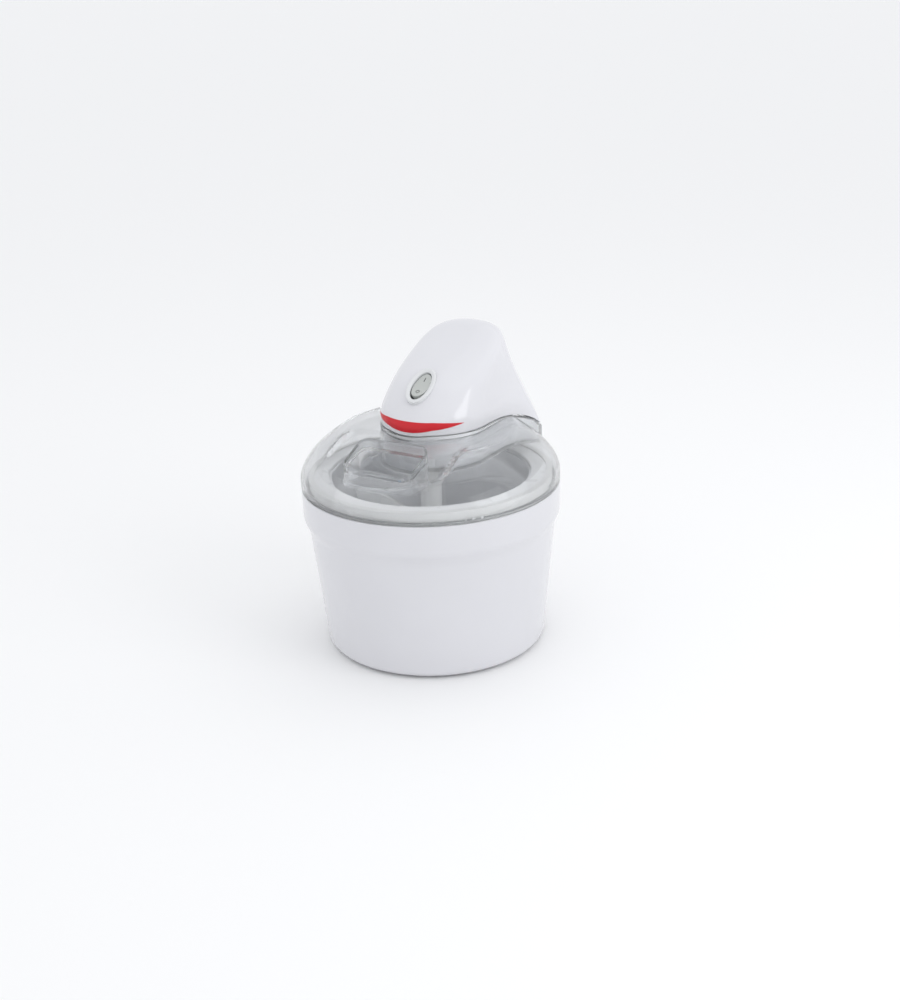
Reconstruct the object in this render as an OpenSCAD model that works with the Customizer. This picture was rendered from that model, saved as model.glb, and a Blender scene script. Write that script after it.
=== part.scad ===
// Ice cream maker with a freezer bowl: a housing, a double-walled bowl, a clear lid with
// a filling chute, a turning paddle, and a motor unit that drops into a pocket in the lid.
// Millimetres. The origin is on the table under the middle of the housing, +Z is up, and
// the chute and the switch face -Y.

/* [Housing] */
// Height of the housing rim above the table
rim_z = 142; // [120:1:172]
// Outer radius of the rim band
body_r = 109.3; // [105:0.1:132]
// How far the rim band stands out from the side wall
band_step = 4.3; // [3.8:0.1:5]
// Height of the rim band
band_h = 25; // [21:1:30]
// Height over which the side wall swells into the band
swell_h = 9; // [6:1:12]
// How much the side wall narrows towards the foot
taper = 11; // [6:0.5:14]
// Rounding of the bottom edge
edge_r = 10; // [6:0.5:12]
// Wall of the housing
wall = 2.2; // [1.8:0.1:2.5]
// Gap between the table and the underside
foot_gap = 2; // [1.5:0.5:4]
// Radius of a rubber foot
foot_r = 7; // [5:0.5:9]
// Distance of the feet from the middle
foot_ring_r = 68; // [50:1:72]

/* [Bowl] */
// Inner radius of the bowl at its mouth
mouth_r = 83; // [78:0.5:86]
// Inner radius of the bowl at its floor
floor_r = 70; // [62:0.5:74]
// Rounding between the floor and the wall of the bowl
bowl_corner = 9; // [6:0.5:12]
// Height of the bowl rim above the housing rim
bowl_rise = 8; // [6:0.5:9]
// Height of the collar that stands on the housing ledge
collar_h = 22; // [18:1:24]
// Thickness of the metal liner
liner_t = 1.5; // [1:0.1:2]
// Width of the liner lip under the rim
lip_w = 7; // [5:0.5:9]
// Thickness of the outer shell
shell_t = 2.4; // [2:0.1:3]
// Thickness of the bowl rim
rim_t = 2.8; // [2:0.1:4]
// Coolant depth under the liner floor
coolant_t = 11.6; // [8:0.1:16]
// Clear height between the housing floor and the bowl
bowl_gap = 7.6; // [5:0.2:12]
// Radius of the filling plug
plug_r = 8; // [5:0.5:10]

/* [Lid] */
// Height of the straight band of the lid
lid_band_h = 8; // [6:0.5:10]
// Wall of the lid
lid_t = 2.4; // [1.8:0.1:3]
// Height that the dome curve aims for above the band
dome_h = 60.7; // [55:0.5:68]
// Roundness of the dome curve, 2 being an ellipse
dome_n = 1.65; // [1.5:0.05:2]
// Height of the flat top of the dome above the band
crown_h = 38.9; // [37:0.1:42]
// Slope of the flat front face in degrees
face_tilt = 16.4; // [12:0.2:18]
// Height of the front face above the band, at the lid's axis
face_h = 47.9; // [46:0.1:50]
// Half width of the front face at its front end
face_front_w = 58; // [50:1:66]
// Half width of the front face at its back end
face_back_w = 50; // [47:1:56]
// Height of the pocket floor above the band
pocket_h = 12.2; // [10:0.2:15]
// Height of the rim round the pocket above the front face
lip_rise = 2.5; // [1.5:0.5:4]
// Play between a lid part and the housing
lid_play = 0.3; // [0.2:0.05:0.4]
// How far the lid turns to lock, in degrees
lock_turn = 15; // [12:1:20]
// Width of a locking lug in degrees
lug_a = 11; // [8:1:14]
// Height of a locking lug
lug_h = 2.8; // [2:0.2:4]

/* [Chute] */
// Half width of the chute
chute_w = 33; // [26:0.5:38]
// Front of the chute, forward of the axis
chute_front = 85; // [80:1:90]
// Depth of the chute from front to back
chute_d = 34; // [26:1:38]
// Corner radius of the chute
chute_corner = 8; // [4:0.5:10]
// Wall of the chute
chute_t = 2; // [1.6:0.1:3]
// Slope of the chute rim in degrees
chute_tilt = 23.6; // [18:0.2:26]
// Height of the chute rim above the band, at the front
chute_rim_h = 26; // [24:0.5:30]

/* [Motor unit] */
// Half width of the round nose
nose_w = 46; // [43:0.5:48]
// How far the nose comes forward of the axis
nose_front = 34; // [32:0.5:36]
// Half width at the tips of the rear wings
wing_w = 64; // [58:0.5:68]
// Height of the unit above the bottom of the lid's dome
unit_h = 112.5; // [100:0.5:125]
// Wall of the cover
cover_t = 2.6; // [2:0.1:3]
// Wall of the base tray
tray_t = 2; // [1.6:0.1:2.6]
// Gap between the unit and the pocket
unit_gap = 0.5; // [0.4:0.05:0.7]

/* [Switch] */
// Length of the oval bezel, up the slope
bezel_l = 37; // [33:0.5:40]
// Width of the oval bezel
bezel_w = 24; // [21:0.5:26]
// Width of the bezel ring
bezel_ring = 4; // [3:0.1:4.5]
// How far the bezel stands out of the cover
bezel_rise = 1.2; // [0.8:0.1:2]
// Gap round the rocker
rocker_gap = 1.5; // [1.4:0.1:2]
// Travel of the rocker in degrees
rocker_travel = 12; // [8:1:13]
// Slope of the front of the cover at the switch, in degrees
switch_tilt = 35; // [30:1:40]

/* [Drive] */
// Gear module
gear_m = 0.8; // [0.7:0.05:0.85]
// Teeth of the output gear
out_teeth = 60; // [60]
// Teeth of the idler wheel
idler_teeth = 54; // [54]
// Teeth of each pinion
pinion_teeth = 18; // [18]
// Thickness of the gears
gear_t = 6; // [5:0.5:7]
// Radius of the paddle shaft
shaft_r = 5; // [4:0.25:5.5]
// How much narrower than the shaft its hexagon is, across the corners
hex_step = 0.8; // [0.6:0.1:2]
// Running gap of a shaft in its bush
run_gap = 0.05; // [0.03:0.01:0.09]
// Outer radius of the motor
motor_r = 26; // [24:0.5:27]
// Height of the motor
motor_h = 22; // [18:1:26]

/* [Paddle] */
// Gap between the paddle and the bowl wall
paddle_gap = 3; // [2.5:0.5:5]
// Thickness of the paddle frame
paddle_t = 4; // [3:0.5:6]
// Width of a paddle bar
paddle_bar = 11; // [9:0.5:14]

/* [Hidden] */

$fn = 96;
eps = 0.01;
big = 400;
screw_r = 1.5;
screw_head_r = 2.8;
screw_head_h = 2;
screw_play = 0.3;

// Housing
waist_r = body_r - band_step;
base_r = waist_r - taper;
band_z = rim_z - band_h;
floor_top = foot_gap + wall;
inner_r = body_r - wall;
skirt_t = 1.8;
skirt_r = inner_r - 2.1;
tab_reach = inner_r - skirt_r - lid_play;
tab_h = 2.5;
tab_z = rim_z - 5;
lug_z = tab_z - 0.4 - lug_h;
foot_stem_r = 3;
foot_head_r = foot_stem_r + 1.5;
foot_head_h = 1.5;
lug_centre = 35;
lug_count = 3;

// Bowl
bowl_rim_r = skirt_r - skirt_t - 1.7;
bowl_top = rim_z + bowl_rise;
collar_z = bowl_top - collar_h;
bowl_bottom = floor_top + bowl_gap;
bowl_wall_r = bowl_rim_r - 2.9;
bowl_foot_r = base_r - wall - 5.8;
liner_bottom = bowl_bottom + shell_t + coolant_t;
liner_floor = liner_bottom + liner_t;
liner_top = bowl_top - rim_t;
shell_corner = 8;
rim_edge = 1.5;
ledge_t = 3;
ledge_gap = 0.6;
key_h = 4;
key_w = 6;
key_d = 1.6;
key_play = 0.4;
key_count = 3;
key_first = 30;
plug_flange_w = 2;
plug_flange_h = 1.2;

// Lid
lid_r = body_r + 0.2;
lid_z = rim_z + lid_band_h;
flange_t = 2;
pocket_z = lid_z + pocket_h;
lip_n = 3.5;
lip_h = crown_h + 3.1;
bush_r = 8;
seal_t = 1.3;
seal_cap_t = 1;
chute_bottom = lid_z + 10;
chute_rim_z = lid_z + chute_rim_h;
chute_y = chute_d / 2 - chute_front;

// Paddle
paddle_low = liner_floor + 2;
paddle_high = liner_top - 20;
hub_r = 9;
hub_top = pocket_z - lid_t - 9;
shaft_grip = 30;
hex_d = 2 * shaft_r - hex_step;
hex_z = pocket_z + 1.3;
hex_h = 7;
blade_lean = 22;
blade_t = 3;
blade_w = 18;
blade_h = 26;
blade_first = 28;

// Motor unit; its key loops are drawn for a height of form_h
form_h = 112.5;
form_scale = unit_h / form_h;
nose_steps = 8;
side_steps = 10;
tail_steps = 5;
tail_r = body_r - 6.8;
wing_y = sqrt(tail_r * tail_r - wing_w * wing_w);
nose_mid = nose_w - nose_front;
tray_z = pocket_z + 0.4;
tray_inset = 1.6 + unit_gap;
pocket_inset = 1.6;
lip_out = 1;
seam_gap = 0.5;
post_r = 4;
slim_post_r = 3.4;
boss_z = lid_z + 50 * form_scale;
boss_grip = 10;
strip_half_a = 62;
strip_steps = 20;

// Gear train, stacked upwards from the gearbox floor
pressure_a = 20;
backlash = 0.14;
gear_step = gear_m / 2;
idler_y = gear_step * (out_teeth + pinion_teeth);
motor_y = idler_y + gear_step * (idler_teeth + pinion_teeth);
box_z = tray_z + 11;
box_t = 2;
out_z = box_z + box_t + 2;
idler_z = out_z + gear_t + 2;
box_lid_z = idler_z + gear_t + 2;
motor_z = box_lid_z + 2.4;
box_wall = 1.6;
box_neck_w = 36;
box_end = 6;
gear_room = 1.2;
out_box_r = gear_step * out_teeth + gear_m + gear_room;
idler_box_r = gear_step * idler_teeth + gear_m + gear_room;
axle_r = 2.5;
spindle_r = 4;
bush_wall = 2.4;
socket_r = 8.4;
socket_z = pocket_z + 0.9;
hex_play = 0.5;
rotor_r = 14;
rotor_shaft_r = 2;
can_t = 1.2;
motor_bush_w = 1.6;
motor_boss_r = 8.6;

// Switch frame: its origin is on the cover, its Z points out of the cover
switch_y = -9.4;
switch_z = lid_z + 76.5 * form_scale;
pin_depth = 9;
pin_r = 1.2;
bezel_deep = 7;
rocker_l = bezel_l - 2 * bezel_ring - 2 * rocker_gap;
rocker_w = bezel_w - 2 * bezel_ring - 1;
stem_w = 7;
cell_w = 14;
cell_l = 24;
cell_top = -bezel_deep;
cell_h = 14;

// Screw places
cover_posts = [[-34, 78], [34, 78], [-33, 0], [33, 0]];
box_posts = [[-27, 14], [27, 14], [-27.5, 37], [27.5, 37]];
ear_x = motor_r + 5;
ear_places = [[-ear_x, motor_y], [ear_x, motor_y]];
cord_z = lid_z + 40 * form_scale;
cord_r = 3.6;
cord_bush_r = 6;
cord_flange_w = 2;
clamp_h = 8;
clamp_x = 7.5;
clamp_y = 76;
clamp_edge = 3.5;
clamp_d = 6;

// ---------- shared shapes ----------

// A ring between two radii
module ring(r_out, r_in, h) {
    difference() {
        cylinder(r = r_out, h = h);
        translate([0, 0, -1]) cylinder(r = r_in, h = h + 2);
    }
}

// Part of a ring, centred on an angle
module arc_block(r_in, r_out, h, centre, width) {
    rotate([0, 0, centre - width / 2])
        rotate_extrude(angle = width)
            translate([r_in, 0]) square([r_out - r_in, h]);
}

// A rectangle with round corners, centred
module round_rect(w, d, r) {
    square([w - 2 * r, d], center = true);
    square([w, d - 2 * r], center = true);
    for (x = [-1, 1], y = [-1, 1])
        translate([x * (w / 2 - r), y * (d / 2 - r)]) circle(r = r, $fn = 48);
}

// An oval outline
function oval(l, w, n = 48) = [for (i = [0:n - 1]) [w / 2 * cos(360 * i / n), l / 2 * sin(360 * i / n)]];

// A pan-head screw along Z, its head's underside at the origin and the shank downwards
module screw(length) {
    translate([0, 0, -length]) cylinder(r = screw_r, h = length + eps, $fn = 32);
    cylinder(r = screw_head_r, h = screw_head_h, $fn = 32);
}

// ---------- the motor unit's form ----------

// Half outline of the unit from the nose round to the tail
function within(p) = norm(p) > tail_r ? p * tail_r / norm(p) : p;
function half_loop(w, tip, mid, wr, ys, tail, p) = concat(
    [for (i = [0:nose_steps]) let (a = 90 * i / nose_steps) [w * sin(a), mid - (mid - tip) * cos(a)]],
    [for (i = [1:side_steps]) let (u = i / side_steps) [w + (wr - w) * pow(u, p), mid + (ys - mid) * u]],
    [for (i = [1:tail_steps]) let (a = 90 * i / tail_steps) within([wr * cos(a), ys + (tail - ys) * sin(a)])]
);
function mirrored(half) = concat(half, [for (i = [len(half) - 2:-1:1]) [-half[i][0], half[i][1]]]);
function plan(i) = mirrored([for (q = half_loop(nose_w - i, i - nose_front, nose_mid, wing_w - i,
    wing_y - 0.6 * i, tail_r - i, 4)) norm(q) > tail_r - i ? q * (tail_r - i) / norm(q) : q]);

// Height of the seam between the unit and the lip of the pocket
function curve_h(q, h, r, n) = h * pow(1 - pow(min(q / r, 1), n), 1 / n);
function face_z(y) = lid_z + face_h + y * tan(face_tilt);
function lip_z(p) = min(lid_z + curve_h(norm(p), lip_h, lid_r, lip_n), face_z(p[1]) + lip_rise);

// Key loops of the cover: [height, nose width, tip, mid, rear width, rear start, tail, flare]
loop_keys = [
    [57, 44.6, -28.5, 15, 47, wing_y - 2, tail_r - 1, 3],
    [67, 43, -20, 22, 43, wing_y - 5, tail_r - 2.5, 2],
    [79, 41.5, -6, 35, 40.5, wing_y - 11, tail_r - 5.5, 2],
    [91, 39.5, 20, 50, 38, wing_y - 15, tail_r - 9, 2],
    [100, 36, 43, 60, 35, wing_y - 14, tail_r - 12, 2],
    [107, 29, 59, 69, 29, wing_y - 9, tail_r - 15, 2],
    [111, 18, 68, 75, 18, wing_y - 4, tail_r - 19, 2],
    [form_h, 5, 75, 77, 5, wing_y - 2, tail_r - 23, 2]
];
function base_key(i, rise, wr) = [for (p = mirrored(half_loop(nose_w - i, i - nose_front, nose_mid,
    wr - i, wing_y, tail_r - i, 4))) let (q = norm(p) > tail_r - i ? p * (tail_r - i) / norm(p) : p)
    [q[0], q[1], lip_z(q) + seam_gap + rise]];
function seam_key(i) = let (inner = base_key(i, 0, wing_w), outer = base_key(0, 0, wing_w))
    [for (j = [0:len(inner) - 1]) [inner[j][0], inner[j][1], outer[j][2]]];
function upper_key(k, i) = [for (p = mirrored(half_loop(max(k[1] - i, 2), min(k[2] + i, 76), k[3],
    max(k[4] - i, 2), k[5], max(k[6] - i, k[5] + 1), k[7])))
    [p[0], p[1], lid_z + k[0] * form_scale - i]];
function key_loops(i) = concat([seam_key(i), base_key(i, 8 - i, wing_w - 6)],
    [for (k = loop_keys) upper_key(k, i)]);
function blend(a, b, c, d, t) =
    0.5 * (2 * b + (c - a) * t + (2 * a - 5 * b + 4 * c - d) * t * t + (3 * b - a - 3 * c + d) * t * t * t);
function loop_at(keys, s) =
    let (k = min(floor(s), len(keys) - 2), t = s - k, a = keys[max(k - 1, 0)], b = keys[k],
        c = keys[k + 1], d = keys[min(k + 2, len(keys) - 1)])
    [for (i = [0:len(b) - 1]) blend(a[i], b[i], c[i], d[i], t)];

function form_loops(i) = let (keys = key_loops(i))
    [for (r = [0:2 * (len(keys) - 1)]) loop_at(keys, r / 2)];
function peak(loops) = let (top = loops[len(loops) - 1], n = len(top))
    [0, (top[0][1] + top[n / 2][1]) / 2, top[0][2] + 0.3];
// Triangles up the outside of stacked loops and over the peak, whose points follow theirs
function skin_faces(rows, n) = concat(
    [for (r = [0:rows - 2], j = [0:n - 1]) [r * n + j, (r + 1) * n + j, (r + 1) * n + (j + 1) % n]],
    [for (r = [0:rows - 2], j = [0:n - 1]) [r * n + j, (r + 1) * n + (j + 1) % n, r * n + (j + 1) % n]],
    [for (j = [0:n - 1]) [(rows - 1) * n + j, rows * n, (rows - 1) * n + (j + 1) % n]]
);

// The unit's form as a shell that is open at the seam
module unit_shell(t) {
    outer = form_loops(0);
    inner = form_loops(t);
    rows = len(outer);
    n = len(outer[0]);
    m = rows * n + 1;
    points = concat([for (l = outer, p = l) p], [peak(outer)], [for (l = inner, p = l) p], [peak(inner)]);
    inside = [for (f = skin_faces(rows, n)) [m + f[2], m + f[1], m + f[0]]];
    seam = [for (j = [0:n - 1], f = [[j, (j + 1) % n, m + (j + 1) % n], [j, m + (j + 1) % n, m + j]]) f];
    polyhedron(points, concat(skin_faces(rows, n), inside, seam), convexity = 6);
}

// The unit's form as a solid, inset by i
module unit_solid(i) {
    loops = form_loops(i);
    rows = len(loops);
    n = len(loops[0]);
    foot = [0, nose_mid, max([for (p = loops[0]) p[2]]) + 1];
    base = [for (j = [0:n - 1]) [(j + 1) % n, rows * n + 1, j]];
    polyhedron(concat([for (l = loops, p = l) p], [peak(loops), foot]),
        concat(skin_faces(rows, n), base), convexity = 6);
}

// Children in the switch's own frame
module at_switch() { translate([0, switch_y, switch_z]) rotate([switch_tilt, 0, 0]) children(); }

// ---------- housing ----------

module housing_outline() {
    corner = base_r - edge_r;
    polygon(concat(
        [[0, foot_gap]],
        [for (a = [0:15:90]) [corner + edge_r * sin(a), foot_gap + edge_r - edge_r * cos(a)]],
        [[waist_r, band_z - swell_h], [body_r, band_z], [body_r, rim_z], [inner_r, rim_z], [inner_r, band_z]],
        [[waist_r - wall, band_z - swell_h]],
        [for (a = [90:-15:0])
            [corner + (edge_r - wall) * sin(a), floor_top + (edge_r - wall) * (1 - cos(a))]],
        [[0, floor_top]]
    ));
}

module housing() {
    color("whitesmoke") difference() {
        union() {
            rotate_extrude($fn = 144) housing_outline();
            translate([0, 0, collar_z - ledge_t]) ring(inner_r + eps, bowl_wall_r + ledge_gap, ledge_t);
            key_places() translate([bowl_wall_r + 0.9, -key_w / 2, collar_z - eps])
                cube([key_d, key_w, key_h]);
            for (k = [0:lug_count - 1]) translate([0, 0, tab_z])
                arc_block(inner_r - tab_reach, inner_r + eps, tab_h,
                    360 / lug_count * k + lug_centre + lock_turn, lug_a + 2);
        }
        feet_places() translate([0, 0, -1]) cylinder(r = foot_stem_r, h = floor_top + 3, $fn = 48);
    }
}

module key_places() {
    for (k = [0:key_count - 1]) rotate([0, 0, 360 / key_count * k + key_first]) children();
}

module feet_places() {
    for (k = [0:3]) rotate([0, 0, 45 + 90 * k]) translate([foot_ring_r, 0, 0]) children();
}

module housing_feet() {
    color("dimgray") feet_places() {
        cylinder(r = foot_r, h = foot_gap, $fn = 48);
        cylinder(r = foot_stem_r, h = floor_top + eps, $fn = 48);
        translate([0, 0, floor_top]) cylinder(r = foot_head_r, h = foot_head_h, $fn = 48);
    }
}

// ---------- bowl ----------

function shell_inside() = [
    [bowl_foot_r - shell_corner - 1, bowl_bottom + shell_t],
    [bowl_foot_r - shell_t, bowl_bottom + shell_corner],
    [bowl_wall_r - shell_t, collar_z],
    [bowl_wall_r - shell_t, liner_top]
];
function liner_outside() = [
    [mouth_r + lip_w, liner_top],
    [mouth_r + lip_w, liner_top - liner_t],
    [mouth_r + liner_t, liner_top - liner_t],
    [floor_r + liner_t, liner_bottom + bowl_corner],
    [floor_r + liner_t - bowl_corner, liner_bottom]
];

module bowl_shell() {
    color("white") difference() {
        rotate_extrude($fn = 144) polygon(concat(
            [[0, bowl_bottom], [bowl_foot_r - shell_corner, bowl_bottom]],
            [[bowl_foot_r, bowl_bottom + shell_corner], [bowl_wall_r, collar_z], [bowl_rim_r, collar_z]],
            [[bowl_rim_r, bowl_top - rim_edge], [bowl_rim_r - rim_edge, bowl_top]],
            [[mouth_r + liner_t + rim_edge, bowl_top], [mouth_r + liner_t, bowl_top - rim_edge]],
            [[mouth_r + liner_t, liner_top]],
            [for (i = [len(shell_inside()) - 1:-1:0]) shell_inside()[i]],
            [[0, bowl_bottom + shell_t]]
        ));
        translate([0, 0, bowl_bottom - 1]) cylinder(r = plug_r, h = shell_t + 2);
        key_places() translate([bowl_wall_r + key_play, -key_w / 2 - key_play, collar_z - 1])
            cube([5, key_w + 2 * key_play, key_h + 1.5]);
    }
}

module bowl_liner() {
    color("silver") rotate_extrude($fn = 144) polygon(concat(
        [[0, liner_floor], [floor_r - bowl_corner, liner_floor]],
        [[floor_r, liner_floor + bowl_corner], [mouth_r, liner_top]],
        liner_outside(),
        [[0, liner_bottom]]
    ));
}

module coolant() {
    color("lightblue") rotate_extrude($fn = 144) polygon(concat(
        [[0, bowl_bottom + shell_t]],
        shell_inside(),
        liner_outside(),
        [[0, liner_bottom]]
    ));
}

module bowl_plug() {
    color("gainsboro") translate([0, 0, bowl_bottom]) {
        cylinder(r = plug_r, h = shell_t);
        translate([0, 0, -plug_flange_h]) cylinder(r = plug_r + plug_flange_w, h = plug_flange_h);
    }
}

// ---------- lid ----------

// The seal caps the edge of the bowl's rim
module lid_seal() {
    r = bowl_rim_r + lid_play / 3;
    color("whitesmoke") translate([0, 0, bowl_top]) {
        ring(r + seal_t, bowl_rim_r - 3.5, seal_cap_t);
        translate([0, 0, -8]) ring(r + seal_t, r, 8 + eps);
    }
}

// The space under a dome of superellipse section, flat at its cap
module dome(r, h, n, cap, bottom) {
    cap_r = r * pow(1 - pow(cap / h, n), 1 / n);
    cap_a = asin(pow(cap / h, n / 2));
    steps = 14;
    rotate_extrude($fn = 144) polygon(concat(
        [[0, bottom], [r, bottom]],
        [for (i = [0:steps - 1]) let (a = cap_a * i / steps)
            [r * pow(cos(a), 2 / n), lid_z + h * pow(sin(a), 2 / n)]],
        [[cap_r, lid_z + cap], [0, lid_z + cap]]
    ));
}

// The space above a plane that slopes down to the front
module above_face(height, tilt) {
    translate([0, 0, height]) rotate([tilt, 0, 0])
        translate([-big / 2, -big / 2, 0]) cube([big, big, big / 2]);
}

// The space taken off the dome by the flat front face
module face_cut(drop, grow) {
    intersection() {
        linear_extrude(big) polygon([
            [-face_back_w - grow, 0], [-face_front_w - grow, -big / 3],
            [face_front_w + grow, -big / 3], [face_back_w + grow, 0]
        ]);
        above_face(lid_z + face_h - drop, face_tilt);
    }
}

module dome_shell() {
    difference() {
        dome(lid_r, dome_h, dome_n, crown_h, rim_z);
        face_cut(0, 0);
        difference() {
            dome(lid_r - lid_t, dome_h - lid_t, dome_n, crown_h - lid_t, rim_z - 1);
            face_cut(lid_t / cos(face_tilt), lid_t);
        }
    }
}

// The space under the seam of the motor unit, drawn in so that its inner side stays low
module under_seam(draw_in, drop) {
    intersection() {
        dome(lid_r - draw_in, lip_h + 0.1, lip_n, lip_h, rim_z);
        difference() {
            translate([-big / 2, -big / 2, 0]) cube([big, big, big]);
            above_face(lid_z + face_h + lip_rise - drop, face_tilt);
        }
    }
}

// The walls and the lip of the motor's pocket
module pocket_block() {
    intersection() {
        translate([0, 0, pocket_z - lid_t]) linear_extrude(big / 2) polygon(plan(-lip_out));
        under_seam(pocket_inset + 1, 0);
    }
}

module chute_block(inset, bottom) {
    difference() {
        translate([0, chute_y, bottom]) linear_extrude(big / 4)
            round_rect(2 * (chute_w - inset), chute_d - 2 * inset, chute_corner - inset);
        above_face(chute_rim_z + chute_front * tan(chute_tilt), chute_tilt);
    }
}

module lid() {
    color("lightcyan", 0.4) difference() {
        union() {
            dome_shell();
            pocket_block();
            chute_block(0, chute_bottom);
            translate([0, 0, rim_z]) ring(lid_r - eps, skirt_r - skirt_t, flange_t);
            translate([0, 0, lug_z]) ring(skirt_r, skirt_r - skirt_t, rim_z - lug_z + flange_t);
            for (k = [0:lug_count - 1]) translate([0, 0, lug_z])
                arc_block(skirt_r - eps, inner_r - lid_play, lug_h, 360 / lug_count * k + lug_centre, lug_a);
        }
        translate([0, 0, pocket_z]) linear_extrude(big / 2) polygon(plan(pocket_inset));
        translate([0, chute_y, chute_bottom - 5]) linear_extrude(big / 4)
            round_rect(2 * (chute_w - chute_t), chute_d - 2 * chute_t, chute_corner - chute_t);
        translate([0, 0, pocket_z - lid_t - 1]) cylinder(r = bush_r, h = lid_t + 2);
    }
}

module shaft_bush() {
    color("white") difference() {
        translate([0, 0, pocket_z - lid_t]) union() {
            cylinder(r = bush_r, h = lid_t);
            translate([0, 0, -2]) cylinder(r = bush_r + 3, h = 2);
            translate([0, 0, -7]) cylinder(r = bush_r, h = 7);
        }
        translate([0, 0, pocket_z - 20]) cylinder(r = shaft_r + run_gap, h = 40);
    }
}

// ---------- paddle ----------

// Radius of the paddle's edge at a height
function paddle_r(z) = let (up = (z - liner_floor - bowl_corner) / (liner_top - liner_floor - bowl_corner))
    floor_r + (mouth_r - floor_r) * up - paddle_gap;

module paddle_frame() {
    low_r = paddle_r(liner_floor + bowl_corner);
    high_r = paddle_r(paddle_high);
    difference() {
        polygon([
            [0, paddle_low], [low_r - bowl_corner, paddle_low], [low_r, paddle_low + bowl_corner],
            [high_r, paddle_high], [high_r - paddle_bar, paddle_high],
            [0, paddle_high - 2 * paddle_bar]
        ]);
        polygon([
            [hub_r + 5, paddle_low + paddle_bar], [low_r - paddle_bar - 3, paddle_low + paddle_bar],
            [low_r - paddle_bar + 1, paddle_low + paddle_bar + 6],
            [high_r - paddle_bar, paddle_high - 1.6 * paddle_bar],
            [hub_r + 5, paddle_high - 3 * paddle_bar]
        ]);
    }
}

module paddle() {
    color("white") difference() {
        union() {
            translate([0, 0, paddle_low]) cylinder(r = hub_r, h = hub_top - paddle_low);
            for (side = [0, 180]) rotate([0, 0, side]) {
                rotate([90, 0, 0]) translate([0, 0, -paddle_t / 2])
                    linear_extrude(paddle_t) paddle_frame();
                for (k = [0:1]) translate([blade_first + blade_w * k, 0, paddle_low + 6])
                    rotate([0, 0, blade_lean]) translate([-blade_t / 2, -blade_w / 2, 0])
                        cube([blade_t, blade_w, blade_h]);
            }
        }
        translate([0, 0, hub_top - shaft_grip]) cylinder(r = shaft_r, h = 2 * shaft_grip);
    }
}

module paddle_shaft() {
    color("silver") {
        translate([0, 0, hub_top - shaft_grip]) cylinder(r = shaft_r, h = hex_z - hub_top + shaft_grip);
        translate([0, 0, hex_z - eps]) cylinder(d = hex_d, h = hex_h, $fn = 6);
    }
}

// ---------- motor unit: casing ----------

// Children at each screw place
module at_places(places, z) {
    for (p = places) translate([p[0], p[1], z]) children();
}

module motor_cover() {
    color("white") difference() {
        union() {
            unit_shell(cover_t);
            intersection() {
                unit_solid(cover_t / 2);
                union() at_places(cover_posts, boss_z) cylinder(r = post_r, h = big, $fn = 32);
            }
        }
        at_places(cover_posts, boss_z - 1) cylinder(r = screw_r, h = boss_grip + 2, $fn = 32);
        at_switch() translate([0, 0, -12]) linear_extrude(30) polygon(oval(bezel_l + 0.2, bezel_w + 0.2));
        translate([0, tail_r - 14, cord_z]) rotate([-90, 0, 0]) cylinder(r = cord_bush_r, h = 40, $fn = 48);
    }
}

// The tray closes the unit from below and fills the pocket
module motor_tray() {
    color("white") difference() {
        union() {
            difference() {
                intersection() {
                    translate([0, 0, tray_z]) linear_extrude(big / 2) polygon(plan(tray_inset));
                    under_seam(tray_inset + tray_t + 2, 1);
                }
                translate([0, 0, tray_z + tray_t]) linear_extrude(big / 2) polygon(plan(tray_inset + tray_t));
            }
            at_places(cover_posts, tray_z) cylinder(r = post_r, h = boss_z - tray_z, $fn = 32);
            at_places(box_posts, tray_z) cylinder(r = slim_post_r, h = box_z - tray_z, $fn = 32);
        }
        translate([0, 0, tray_z - 1]) cylinder(r = socket_r + 1.2, h = tray_t + 2);
        at_places(cover_posts, 0) cylinder(r = screw_r, h = big, $fn = 32);
        at_places(cover_posts, tray_z - 1)
            cylinder(r = screw_head_r + screw_play, h = boss_z - tray_z - boss_grip + 1, $fn = 32);
        at_places(box_posts, tray_z + tray_t) cylinder(r = screw_r, h = 30, $fn = 32);
    }
}

module cover_screws() {
    color("silver") at_places(cover_posts, boss_z - boss_grip) mirror([0, 0, 1]) screw(2 * boss_grip);
}

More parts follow.
